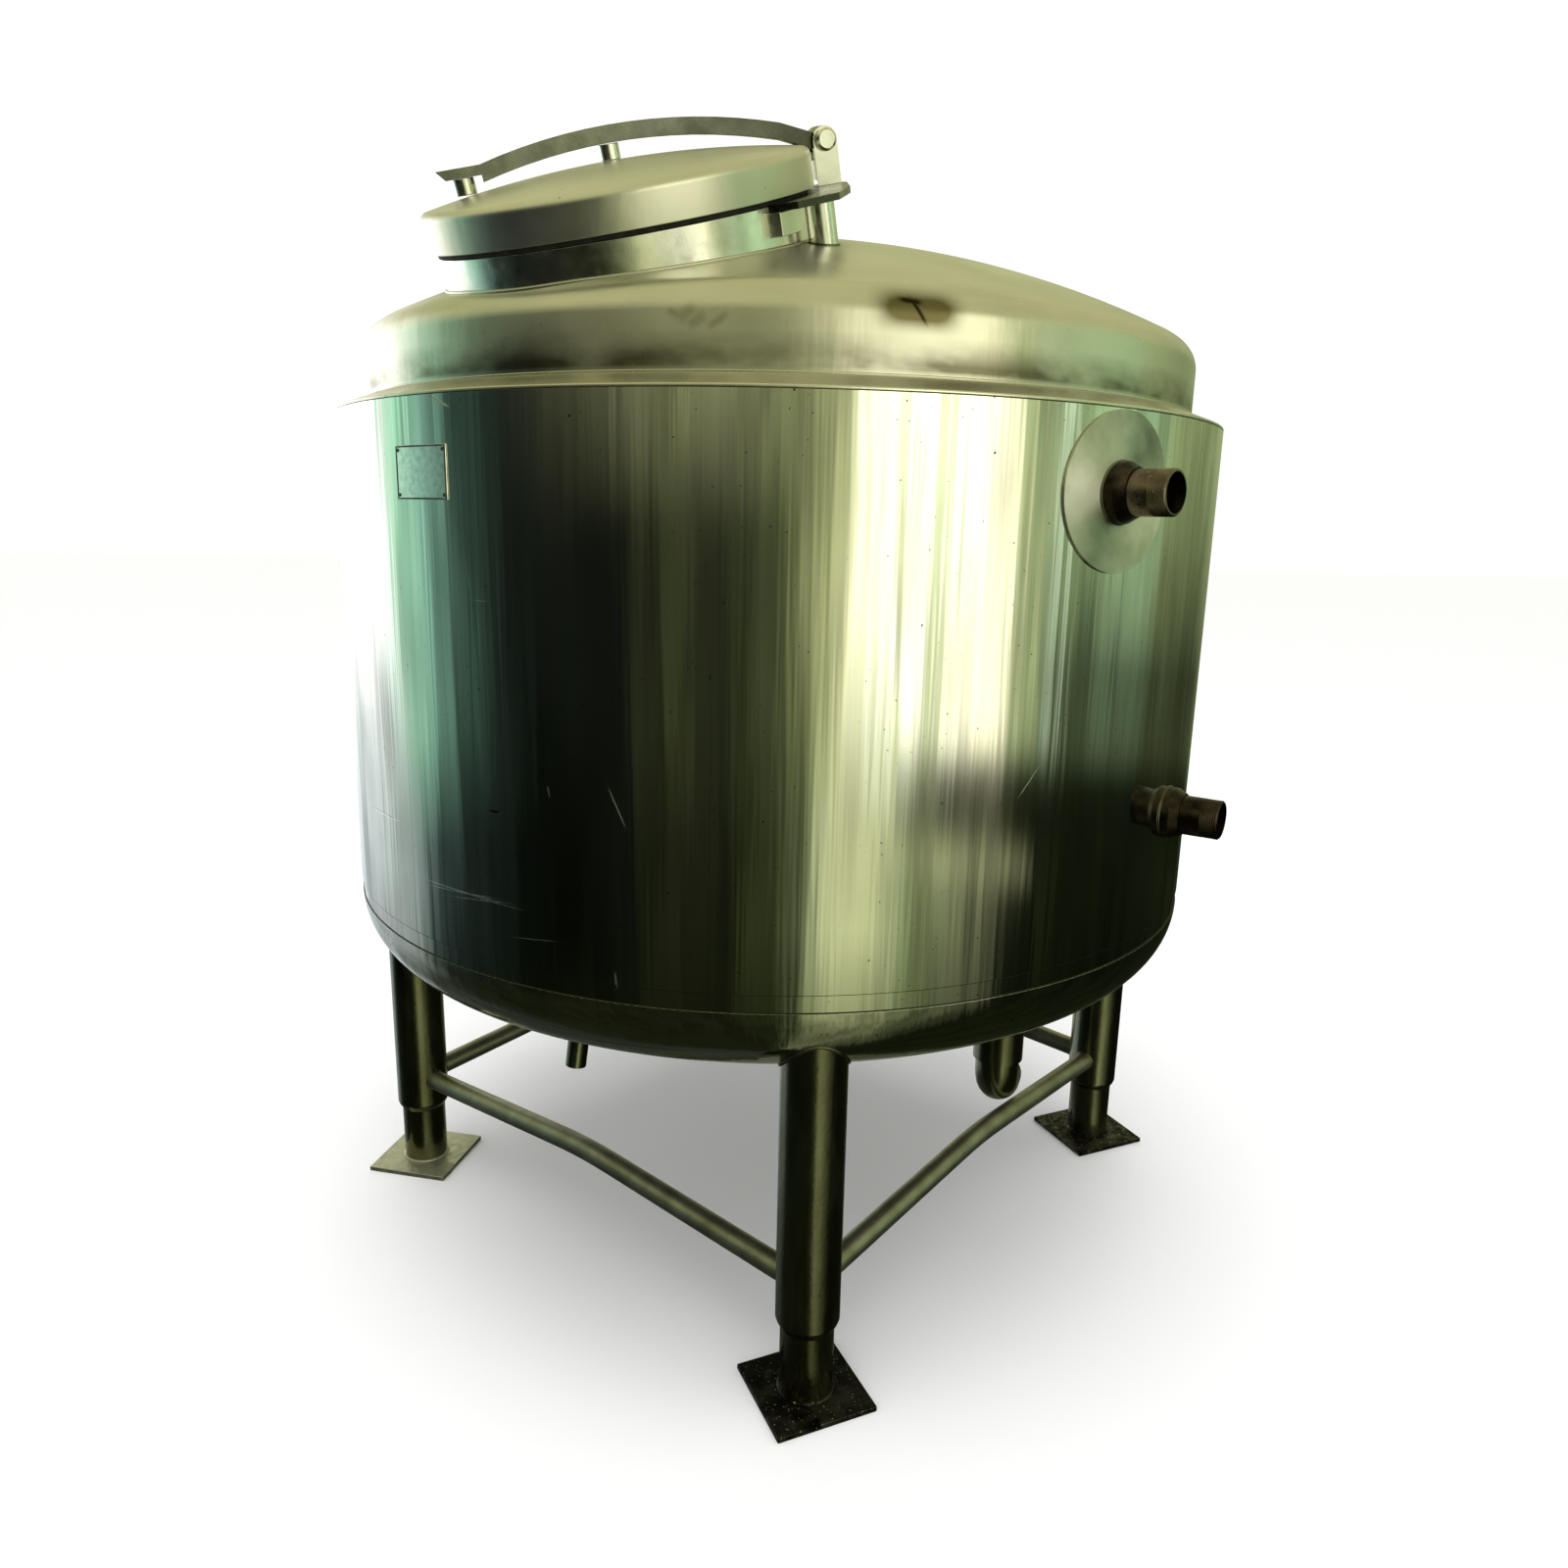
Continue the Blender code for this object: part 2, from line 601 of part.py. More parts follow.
def make_nozzle(name):
    """A pipe stub through the jacket and the vessel, with a conical collar outside."""
    reach = NOZZLE_REACH[name]
    inside = -(JACKET_RADIUS - VESSEL_RADIUS) - 2 * VESSEL_WALL
    pipe = [(NOZZLE_RADIUS - NOZZLE_CHAMFER, reach), (NOZZLE_RADIUS, reach - NOZZLE_CHAMFER),
            (NOZZLE_RADIUS, inside), (NOZZLE_BORE, inside), (NOZZLE_BORE, reach)]
    turned(f"{name}_nozzle", pipe, "nozzle_stainless", closed=True, steps=TUBE_SIDES,
           matrix=nozzle_frame(name))
    inner = NOZZLE_RADIUS + GAP
    cone = [(inner + NOZZLE_CHAMFER, COLLAR_REACH), (COLLAR_RADIUS, COLLAR_REACH / 2),
            (COLLAR_RADIUS, -COLLAR_REACH), (inner, -COLLAR_REACH), (inner, COLLAR_REACH)]
    collar = turned(f"{name}_collar", cone, "nozzle_stainless", closed=True, steps=TUBE_SIDES,
                    matrix=nozzle_frame(name))
    cut(collar, cutter(f"{name}_drum_cutter"))


def make_nozzles():
    """Two threaded pipe stubs, the upper one on a round reinforcing pad."""
    make_nozzle("upper")
    make_nozzle("lower")
    place = radial_frame(NOZZLE_AZIMUTH["upper"], NOZZLE_Z["upper"])
    pad = skin_ring("reinforcing_pad", NOZZLE_Z["upper"], PAD_RADIUS + 0.01, PAD_SHEET, "brushed_stainless")
    disc = cylinder_mesh("pad_disc", PAD_RADIUS, -0.1, 0.1, SEGMENTS)
    cut(pad, add_cutter("pad_disc", disc, place), "INTERSECT")
    cut(pad, cutter("upper_nozzle_cutter"))


def skin_ring(name, z, half_height, sheet, material):
    """A ring that hugs the jacket's facets, to be cut down to a pad or a plate."""
    inner = JACKET_RADIUS + GAP
    outer = inner + sheet
    return turned(name, [(outer, z + half_height), (outer, z - half_height),
                         (inner, z - half_height), (inner, z + half_height)], material, closed=True)


def make_nameplate():
    width, height = NAMEPLATE_SIZE
    plate = skin_ring("nameplate", NAMEPLATE_Z, height / 2 + 0.01, NAMEPLATE_SHEET, "plate_aluminium")
    window = box_mesh("nameplate_window", (width, height, 0.2), (0.0, 0.0, 0.0))
    frame = radial_frame(NAMEPLATE_AZIMUTH, NAMEPLATE_Z)
    cut(plate, add_cutter("nameplate_window", window, frame), "INTERSECT")


def make_outlets():
    """The bottom outlet with its elbow, and the short drain stub."""
    outlet_place = place_at(*OUTLET_PLACE)
    top = JACKET_SEAM_Z - 0.02
    inner = OUTLET_RADIUS - OUTLET_WALL
    lip_z = OUTLET_END_Z + OUTLET_LIP
    pipe = turned("outlet_pipe", [(OUTLET_RADIUS, top), (OUTLET_RADIUS, OUTLET_END_Z),
                                  (ELBOW_BORE, OUTLET_END_Z), (ELBOW_BORE, lip_z), (inner, lip_z),
                                  (inner, top)],
                  "tube_stainless", closed=True, steps=TUBE_SIDES,
                  matrix=Matrix.Translation(outlet_place))
    cut(pipe, cutter("dish_cutter"))

    heading = place_at(ELBOW_AZIMUTH, 1.0)
    points = [outlet_place + Vector((0.0, 0.0, OUTLET_END_Z - GAP))]
    for step in range(ELBOW_STEPS + 1):
        angle = math.pi / 2 * step / ELBOW_STEPS
        drop = Vector((0.0, 0.0, ELBOW_AXIS_Z + ELBOW_BEND * (1 - math.sin(angle))))
        points.append(outlet_place + heading * ELBOW_BEND * (1 - math.cos(angle)) + drop)
    points.append(points[-1] + heading * ELBOW_END)
    elbow = tube_along("outlet_elbow", points, ELBOW_RADIUS, "tube_stainless", resolution=4)
    bore = cylinder_mesh("elbow_bore", ELBOW_BORE, -ELBOW_BORE_DEPTH, ELBOW_END, TUBE_SIDES)
    level = Vector((0.0, 0.0, 1.0)).cross(heading)
    facing = Matrix((level, heading.cross(level), heading)).transposed().to_4x4()
    cut(elbow, add_cutter("elbow_bore", bore, Matrix.Translation(points[-1]) @ facing))

    place = Matrix.Translation(place_at(*DRAIN_PLACE, DRAIN_END_Z))
    out = place_at(DRAIN_PLACE[0], 1.0)
    across = Vector((0.0, 0.0, 1.0)).cross(out)
    lean = Matrix.Rotation(math.radians(-DRAIN_TILT), 4, across)
    bore_radius = DRAIN_RADIUS - DRAIN_WALL
    drain = turned("drain_stub", [(DRAIN_RADIUS, 0.25), (DRAIN_RADIUS, 0.0), (bore_radius, 0.0),
                                  (bore_radius, 0.25)],
                   "tube_stainless", closed=True, steps=TUBE_SIDES, matrix=place @ lean)
    cut(drain, cutter("dish_cutter"))


def make_leg(name):
    """A leg tube welded to the dish, a foot tube that slides in it and a square plate."""
    place = leg_matrix(name)
    low = SLEEVE_END_Z + GAP
    inner = LEG_RADIUS - LEG_WALL
    top = JACKET_SEAM_Z - 0.02
    leg = turned(f"{name}_leg", [(LEG_RADIUS, top), (LEG_RADIUS, low), (inner, low), (inner, top)],
                 "tube_stainless", closed=True, steps=TUBE_SIDES, matrix=place)
    cut(leg, cutter("dish_cutter"))

    base = PLATE_SHEET + GAP
    bore = FOOT_RADIUS - LEG_WALL
    end = SLEEVE_END_Z + FOOT_INSERT
    turned(f"{name}_foot_tube", [(FOOT_RADIUS, end), (FOOT_RADIUS, SLEEVE_END_Z),
                                 (LEG_RADIUS, SLEEVE_END_Z),
                                 (FOOT_RADIUS, SLEEVE_END_Z - CONE_HEIGHT), (FOOT_RADIUS, base),
                                 (bore, base), (bore, end)],
           "tube_stainless", closed=True, steps=TUBE_SIDES, matrix=place)

    plate_place = place @ Matrix.Rotation(math.radians(PLATE_TURNS[name]), 4, "Z")
    plate = box_mesh(f"{name}_foot_plate", (PLATE_SIDE, PLATE_SIDE, PLATE_SHEET), (0.0, 0.0, PLATE_SHEET / 2))
    add_object(f"{name}_foot_plate", plate, "tube_stainless", plate_place)


def make_tie(first, second):
    """A tube between two legs, bent upwards at its middle."""
    start = place_at(LEG_AZIMUTHS[first], LEG_CIRCLE, TIE_END_Z)
    end = place_at(LEG_AZIMUTHS[second], LEG_CIRCLE, TIE_END_Z)
    middle = (start + end) / 2
    middle.z = TIE_MIDDLE_Z
    along = (end - start).normalized()
    before = middle + (start - middle).normalized() * TIE_BEND_LENGTH
    after = middle + (end - middle).normalized() * TIE_BEND_LENGTH
    crest = (before + after) / 4 + middle / 2
    quarter = TIE_BEND_LENGTH / 2
    points = [start, before, crest - along * quarter, crest, crest + along * quarter, after, end]
    tie = tube_along(f"{first}_{second}_tie", points, TIE_RADIUS, "tube_stainless", resolution=3)
    cut(tie, cutter(f"{first}_leg_cutter"))
    cut(tie, cutter(f"{second}_leg_cutter"))


def make_stand():
    order = list(LEG_AZIMUTHS)
    for name in order:
        make_leg(name)
    for first, second in zip(order, order[1:] + order[:1]):
        make_tie(first, second)


clear_scene()
make_collection(COLLECTION)
make_collection(CUTTERS)
make_materials()
make_cutters()
make_vessel()
make_jacket()
make_manway()
make_clamp()
make_hinge()
make_nozzles()
make_nameplate()
make_outlets()
make_stand()
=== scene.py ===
"""A jacketed stainless steel process tank on four tubular legs, dressed for a studio picture.

Metres, +Z up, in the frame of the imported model: the origin is on the tank's axis at floor
level. Azimuths are measured at that axis from -Y, positive towards +X.
"""

import math

import bpy
from mathutils import Matrix, Vector


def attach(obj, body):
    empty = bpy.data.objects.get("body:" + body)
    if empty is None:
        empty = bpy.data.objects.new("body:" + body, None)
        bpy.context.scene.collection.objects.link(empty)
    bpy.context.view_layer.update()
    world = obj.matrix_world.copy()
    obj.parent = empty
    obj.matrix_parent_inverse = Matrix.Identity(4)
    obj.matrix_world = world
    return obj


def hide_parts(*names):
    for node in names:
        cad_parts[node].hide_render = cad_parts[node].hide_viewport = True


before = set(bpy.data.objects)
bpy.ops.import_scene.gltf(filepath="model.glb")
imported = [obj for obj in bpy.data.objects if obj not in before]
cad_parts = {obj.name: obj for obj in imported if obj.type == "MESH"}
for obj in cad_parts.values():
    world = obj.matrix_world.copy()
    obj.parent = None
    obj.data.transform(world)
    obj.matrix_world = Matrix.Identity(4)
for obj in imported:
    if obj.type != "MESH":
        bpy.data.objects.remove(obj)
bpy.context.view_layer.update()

# Inner vessel
# The vessel that holds the liquid: a rolled shell and a dished end of 4 mm stainless sheet, left
# with its smooth mill finish. It shows only through the open manway and the nozzles.
VESSEL_RADIUS = 0.653
VESSEL_WALL = 0.004
VESSEL_KNUCKLE = 0.100
VESSEL_CROWN = 1.300
VESSEL_JOINT_Z = 0.604
ROOF_JOINT_Z = 1.330
SEAM_GAP = 0.0003
SHELL_SIDES = 288
CROWN_STEPS = 24
KNUCKLE_STEPS = 12
POLE = 0.001
MERGE_DISTANCE = 0.00001
SMOOTH_UNDER = math.radians(28.0)
UP = Vector((0.0, 0.0, 1.0))


def arc(centre, radius, start, end, steps):
    """Points of an arc, with angles in radians from the outward side."""
    turns = [start + (end - start) * step / steps for step in range(steps + 1)]
    return [(centre[0] + radius * math.cos(turn), centre[1] + radius * math.sin(turn))
            for turn in turns]


def dished_end(radius, flange_z, knuckle, crown, side, inset=0.0):
    """Profile of a dished end from pole to flange; side is 1 for a roof, -1 for a bottom."""
    reach = radius - knuckle
    join = math.asin(reach / (crown - knuckle))
    centre_z = -(crown - knuckle) * math.cos(join)
    sphere = arc((0.0, centre_z), crown - inset, math.pi / 2, math.pi / 2 - join, CROWN_STEPS)
    corner = arc((reach, 0.0), knuckle - inset, math.pi / 2 - join, 0.0, KNUCKLE_STEPS)
    points = [(POLE, sphere[0][1])] + sphere[1:-1] + corner
    return [(r, flange_z + side * z) for r, z in points]


def select_only(piece):
    """Leaves one piece selected and active."""
    bpy.ops.object.select_all(action="DESELECT")
    piece.select_set(True)
    bpy.context.view_layer.objects.active = piece


def edit_all():
    """Opens the active piece in edit mode, with all of it selected."""
    bpy.ops.object.mode_set(mode="EDIT")
    bpy.ops.mesh.select_all(action="SELECT")


def started(name, add_primitive, **settings):
    """A piece that starts as a primitive, with its place already in its mesh."""
    bpy.ops.object.select_all(action="DESELECT")
    add_primitive(**settings)
    piece = bpy.context.object
    piece.name = piece.data.name = name
    bpy.ops.object.transform_apply()
    return piece


def settle(piece, place):
    """Puts a piece at its place and moves that place into its mesh."""
    select_only(piece)
    piece.matrix_world = place
    bpy.ops.object.transform_apply()
    return piece


def turned(name, profile, sides=SHELL_SIDES, place=Matrix.Identity(4)):
    """A body of revolution: a circle, extruded and resized from one profile point to the next.

    A profile that ends where it starts gives a ring, and any other one is capped at both ends.
    """
    radius, height = profile[0]
    piece = started(name, bpy.ops.mesh.primitive_circle_add, vertices=sides, radius=radius,
                    location=(0.0, 0.0, height))
    edit_all()
    for next_radius, next_height in profile[1:]:
        rise = (0.0, 0.0, next_height - height)
        bpy.ops.mesh.extrude_region_move(TRANSFORM_OT_translate={"value": rise})
        share = next_radius / radius
        bpy.ops.transform.resize(value=(share, share, 1.0),
                                 center_override=(0.0, 0.0, next_height))
        radius, height = next_radius, next_height
    bpy.ops.mesh.select_all(action="SELECT")
    bpy.ops.mesh.remove_doubles(threshold=MERGE_DISTANCE)
    bpy.ops.mesh.fill_holes(sides=0)
    bpy.ops.mesh.select_all(action="SELECT")
    bpy.ops.mesh.normals_make_consistent(inside=False)
    bpy.ops.object.mode_set(mode="OBJECT")
    settle(piece, place)
    bpy.ops.object.shade_smooth_by_angle(angle=SMOOTH_UNDER)
    return piece


def sleeve(name, outer, inner, high, low, **how):
    """A tube with square ends, from high down to low along its place's Z axis."""
    return turned(name, [(outer, high), (outer, low), (inner, low), (inner, high), (outer, high)],
                  **how)


def dish(name, shape, wall, rim=(), **how):
    """A dished end of sheet: its inner face, further points of its rim and its outer face."""
    return turned(name, [*dished_end(*shape, inset=wall), *rim, *dished_end(*shape)[::-1]], **how)


def rod(name, radius, low, high, place, sides=64):
    """A round bar along a place's Z axis, from low to high."""
    piece = started(name, bpy.ops.mesh.primitive_cylinder_add, vertices=sides, radius=radius,
                    depth=high - low, location=(0.0, 0.0, (high + low) / 2))
    settle(piece, place)
    bpy.ops.object.shade_smooth_by_angle(angle=SMOOTH_UNDER)
    return piece


def modified(piece, kind, **settings):
    """Adds a modifier with these settings and applies it."""
    modifier = piece.modifiers.new("change", kind)
    for key, value in settings.items():
        setattr(modifier, key, value)
    bpy.context.view_layer.objects.active = piece
    bpy.ops.object.modifier_apply(modifier="change")


def eased(piece, width=0.0008):
    """Breaks the sharp edges as a file does, and keeps the flats flat."""
    modified(piece, "BEVEL", width=width, segments=2, limit_method="ANGLE", harden_normals=True,
             angle_limit=math.radians(35.0))
    return piece


def cut_by(piece, tool, operation="DIFFERENCE"):
    """Takes a tool's shape out of a piece, or all but that shape with INTERSECT."""
    modified(piece, "BOOLEAN", operation=operation, solver="EXACT", object=tool)
    bpy.data.objects.remove(tool)
    return piece


def place_at(azimuth, reach, z=0.0):
    """The point at an azimuth in degrees, a reach from the tank's axis and a height."""
    turn = math.radians(azimuth)
    return Vector((reach * math.sin(turn), -reach * math.cos(turn), z))


def facing(origin, out, level=None):
    """A place whose Z points along out, and whose X stays level unless it is given."""
    out = out.normalized()
    level = (level or UP.cross(out)).normalized()
    turn = Matrix((level, out.cross(level), out)).transposed()
    return Matrix.Translation(origin) @ turn.to_4x4()


def linear(colour):
    """A linear RGBA colour from an sRGB hex value."""
    shares = [int(colour[start:start + 2], 16) / 255 for start in (0, 2, 4)]
    return [s / 12.92 if s <= 0.04045 else ((s + 0.055) / 1.055) ** 2.4 for s in shares] + [1.0]


def add_node(beside, kind, inputs, **settings):
    """A node with its settings, in the tree of the node or socket that it goes beside.

    An input is a number, an sRGB hex colour, the node or socket that feeds it, or None.
    """
    tree = beside.id_data
    made = tree.nodes.new("ShaderNode" + kind)
    for key, value in settings.items():
        setattr(made, key, value)
    for key, value in inputs.items():
        socket = made.inputs[key] if isinstance(key, int) else next(
            entry for entry in made.inputs if entry.enabled and entry.name == key)
        if isinstance(value, bpy.types.Node):
            value = next(entry for entry in value.outputs if entry.enabled)
        if isinstance(value, bpy.types.NodeSocket):
            tree.links.new(value, socket)
        elif value is not None:
            socket.default_value = linear(value) if isinstance(value, str) else value
    return made


def patches(place, scale, detail, low, high, least=0.0, most=1.0, roughness=0.5):
    """Soft patches, 1000 / scale mm apart: least where their noise is low, most where high."""
    noise = add_node(place, "TexNoise", {"Vector": place, "Scale": scale, "Detail": detail,
                                         "Roughness": roughness})
    return add_node(place, "MapRange", {"Value": noise, "From Min": low, "From Max": high,
                                        "To Min": least, "To Max": most})


def relief(place, scale, detail, depth, under=None):
    """Bumps, 1000 / scale mm apart and depth metres high, on top of a coarser relief."""
    noise = add_node(place, "TexNoise", {"Vector": place, "Scale": scale, "Detail": detail})
    return add_node(place, "Bump", {"Height": noise, "Distance": depth, "Normal": under})


def faded(share, *edges, interpolation="LINEAR"):
    """A share that fades at edges; each is a value, where that is outside and where inside."""
    for value, outside, inside in edges:
        edge = add_node(value, "MapRange", {"Value": value, "From Min": outside,
                                            "From Max": inside}, interpolation_type=interpolation)
        share = add_node(value, "Math", {0: share, 1: edge}, operation="MULTIPLY")
    return share


def coated(colour, *films):
    """A colour under films, one over the other; each is its share at a spot and its colour."""
    for share, film in films:
        colour = add_node(share, "Mix", {"Factor": share, "A": colour, "B": film},
                          data_type="RGBA")
    return colour


def new_material(name, metallic, roughness, anisotropy=0.0):
    """A material, its shader and the piece's own coordinates."""
    material = bpy.data.materials.new(name)
    material.use_nodes = True
    shader = material.node_tree.nodes["Principled BSDF"]
    shader.inputs["Metallic"].default_value = metallic
    shader.inputs["Roughness"].default_value = roughness
    if anisotropy:
        shader.inputs["Anisotropic"].default_value = anisotropy
        shader.inputs["Anisotropic Rotation"].default_value = 0.25
    return material, shader, add_node(shader, "TexCoord", {}).outputs["Object"]


def feed(shader, **sources):
    """Connects nodes to the shader's sockets; Base_Color stands for Base Color."""
    for name, source in sources.items():
        socket = next(entry for entry in source.outputs if entry.enabled)
        shader.id_data.links.new(socket, shader.inputs[name.replace("_", " ")])


def finished(piece, material, node=None, body="tank"):
    """Hands a piece its finish and the body it moves with, and hides the plain solid it stands
    for.
    """
    piece.data.materials.clear()
    piece.data.materials.append(material)
    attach(piece, body)
    if node:
        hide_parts(node)
    return piece


# Mill finish: pickled and passivated 304 sheet, even, greyish and a little cloudy
mill_steel, shader, place = new_material("mill_finished_304_sheet", 1.0, 0.28)
cloud = patches(place, 6.0, 3.0, 0.35, 0.70)
feed(shader, Base_Color=coated("bdbbb0", (cloud, "9c9a8c")),
     Roughness=patches(place, 40.0, 3.0, 0.3, 0.7, 0.22, 0.36))

# Place of the two nozzles, whose holes go through vessel and jacket
JACKET_RADIUS = 0.700
NOZZLE_RADIUS = 0.028
NOZZLE_AZIMUTH = {"upper": 31.0, "lower": 49.0}
NOZZLE_TURN = {"upper": 8.0, "lower": 0.0}
NOZZLE_Z = {"upper": 1.219, "lower": 0.780}
NOZZLE_HOLE = NOZZLE_RADIUS + 0.0005


def on_skin(azimuth, z, proud=0.0, turned_by=0.0):
    """A place on the jacket whose Z points outwards, or a few degrees sideways."""
    return facing(place_at(azimuth, JACKET_RADIUS + proud, z), place_at(azimuth + turned_by, 1.0))


nozzle_places = {name: on_skin(NOZZLE_AZIMUTH[name], z, turned_by=NOZZLE_TURN[name])
                 for name, z in NOZZLE_Z.items()}


def drilled(piece, names=("upper", "lower")):
    """Cuts the holes for the named nozzles through a round sheet."""
    for name in names:
        cut_by(piece, rod("drill", NOZZLE_HOLE, low=-0.10, high=0.05, place=nozzle_places[name]))
    return piece


vessel_sheet = sleeve("vessel_sheet", VESSEL_RADIUS, VESSEL_RADIUS - VESSEL_WALL,
                      ROOF_JOINT_Z - SEAM_GAP, VESSEL_JOINT_Z + SEAM_GAP)
finished(drilled(vessel_sheet), mill_steel, "vessel_shell")
end_of = (VESSEL_RADIUS, VESSEL_JOINT_Z - SEAM_GAP, VESSEL_KNUCKLE, VESSEL_CROWN, -1)
vessel_end = dish("vessel_end", end_of, VESSEL_WALL)
finished(vessel_end, mill_steel, "vessel_bottom")

# Jacket
# The outer skin that keeps the vessel warm: rolled sheet, a sloped shoulder on top, a thin band
# and a dished bottom, all of 304 stainless steel, brushed round and polished at the seams.
JACKET_WALL = 0.004
JACKET_TOP_Z = 1.317
JACKET_SEAM_Z = 0.614
BAND_HEIGHT = 0.024
BAND_LOW_Z = JACKET_SEAM_Z - BAND_HEIGHT
BAND_RECESS = 0.0015
BOTTOM_KNUCKLE = 0.108
CROWN_RADIUS = 1.400
SHOULDER_RISE = 0.0183
SHOULDER_SHEET = 0.004


def azimuth_and_height(place):
    """Nodes for a point's azimuth in degrees round the tank and its height in metres."""
    split = add_node(place, "SeparateXYZ", {"Vector": place})
    back = add_node(place, "Math", {0: split.outputs["Y"], 1: -1.0}, operation="MULTIPLY")
    turn = add_node(place, "Math", {0: split.outputs["X"], 1: back}, operation="ARCTAN2")
    return add_node(place, "Math", {0: turn}, operation="DEGREES"), split.outputs["Z"]


def stroke(azimuth, height, start, end, width, radius):
    """The share of a straight mark on a round skin, from (azimuth, z) to (azimuth, z).

    Its width is the distance from its middle line at which it ends.
    """
    scale = radius * math.pi / 180.0
    run = Vector(((end[0] - start[0]) * scale, end[1] - start[1]))
    along = run.normalized()
    distances = []
    for x, z in ((along.x, along.y), (-along.y, along.x)):
        part = add_node(azimuth, "Math", {0: azimuth, 1: scale * x,
                                          2: -start[0] * scale * x - start[1] * z},
                        operation="MULTIPLY_ADD")
        distances.append(add_node(azimuth, "Math", {0: height, 1: z, 2: part},
                                  operation="MULTIPLY_ADD"))
    middle = add_node(azimuth, "Math", {0: distances[0], 1: run.length / 2},
                      operation="SUBTRACT")
    reach, aside = [add_node(azimuth, "Math", {0: distance}, operation="ABSOLUTE")
                    for distance in (middle, distances[1])]
    return faded(1.0, (reach, run.length / 2, run.length * 0.15), (aside, width, 0.0),
                 interpolation="SMOOTHSTEP")


def marked(azimuth, height, marks, radius=JACKET_RADIUS):
    """The share of the strongest of these straight marks."""
    strongest = 0.0
    for mark in marks:
        strongest = add_node(azimuth, "Math", {
            0: strongest, 1: stroke(azimuth, height, *mark, radius)}, operation="MAXIMUM")
    return strongest


# Brushed sheet: the belt ran round the tank, so a light in it is drawn out upwards. Rolling left
# it slightly wavy in upright lines, and years of washing left stains, dull smears and scratches.
SCRATCHES = [((-50.0, 0.698), (-31.0, 0.697), 0.0010), ((-48.0, 0.690), (-33.0, 0.703), 0.0008),
             ((-44.5, 0.684), (-31.5, 0.701), 0.0007), ((-34.5, 0.652), (-26.5, 0.661), 0.0009),
             ((-41.0, 0.697), (-30.5, 0.692), 0.0007), ((-22.0, 0.875), (-19.5, 0.808), 0.0016),
             ((-37.9, 1.138), (-37.3, 1.077), 0.0006), ((-37.3, 1.077), (-34.7, 1.0765), 0.0006),
             ((23.4, 0.900), (19.9, 0.846), 0.0007), ((-28.4, 0.862), (-28.1, 0.842), 0.0016),
             ((-21.2, 0.634), (-21.0, 0.606), 0.0024)]
CUTS = [((-62.0, 0.764), (-51.8, 0.766), 0.0011), ((-36.0, 0.8155), (-34.2, 0.8155), 0.0030),
        ((-42.2, 1.3165), (-39.0, 1.300), 0.0012)]
brushed_steel, shader, place = new_material("brushed_304_sheet", 1.0, 0.13, 0.3)
round_belt = add_node(place, "Tangent", {}, direction_type="RADIAL", axis="Z")
azimuth, height = azimuth_and_height(place)
upright, washed, smeared, rolled = [
    add_node(place, "Mapping", {"Vector": place, "Scale": (1.0, 1.0, drawn_out)})
    for drawn_out in (0.03, 0.35, 0.2, 0.08)]
gouged = marked(azimuth, height, CUTS)
colour = coated("e4e3dc", (patches(upright, 26.0, 4.0, 0.42, 0.72), "cfd0c4"),
                (patches(washed, 5.0, 3.0, 0.40, 0.75), "bec5b4"),
                (faded(0.5, (height, 0.70, 0.56)), "5e5d48"),
                (patches(place, 190.0, 1.0, 0.76, 0.80), "3b3a2c"), (gouged, "14140e"))
dull = add_node(place, "Math", {0: marked(azimuth, height, SCRATCHES), 1: 0.34,
                                2: patches(smeared, 9.0, 5.0, 0.3, 0.75, 0.06, 0.14)},
                operation="MULTIPLY_ADD")
waves = relief(upright, 30.0, 3.0, 0.0010, relief(rolled, 5.0, 2.0, 0.006))
waves = add_node(place, "Bump", {"Height": gouged, "Distance": -0.0004, "Normal": waves})
feed(shader, Base_Color=colour, Roughness=dull, Normal=waves, Tangent=round_belt)

jacket_sheet = sleeve("jacket_sheet", JACKET_RADIUS, JACKET_RADIUS - JACKET_WALL, JACKET_TOP_Z,
                      JACKET_SEAM_Z + SEAM_GAP)
finished(eased(drilled(jacket_sheet)), brushed_steel, "jacket_shell")
outer = JACKET_RADIUS - BAND_RECESS
bottom_strip = sleeve("bottom_strip", outer, outer - JACKET_WALL, JACKET_SEAM_Z,
                      BAND_LOW_Z + SEAM_GAP)
finished(eased(bottom_strip), brushed_steel, "bottom_band")
end_of = (JACKET_RADIUS, BAND_LOW_Z, BOTTOM_KNUCKLE, CROWN_RADIUS, -1)
bottom_dish = dish("bottom_dish", end_of, JACKET_WALL)
finished(eased(bottom_dish), brushed_steel, "jacket_bottom")

# Weld metal: a bead with fine ripples, brushed dull on top, darker in patches
weld_metal, shader, place = new_material("tig_weld_bead", 1.0, 0.36)
feed(shader, Base_Color=coated("7c7a69", (patches(place, 30.0, 4.0, 0.35, 0.65), "55523f")),
     Normal=relief(place, 350.0, 2.0, 0.0003))


def put_in(name, data):
    """Puts a new object into the scene, alone selected."""
    piece = bpy.data.objects.new(name, data)
    bpy.context.collection.objects.link(piece)
    select_only(piece)
    return piece


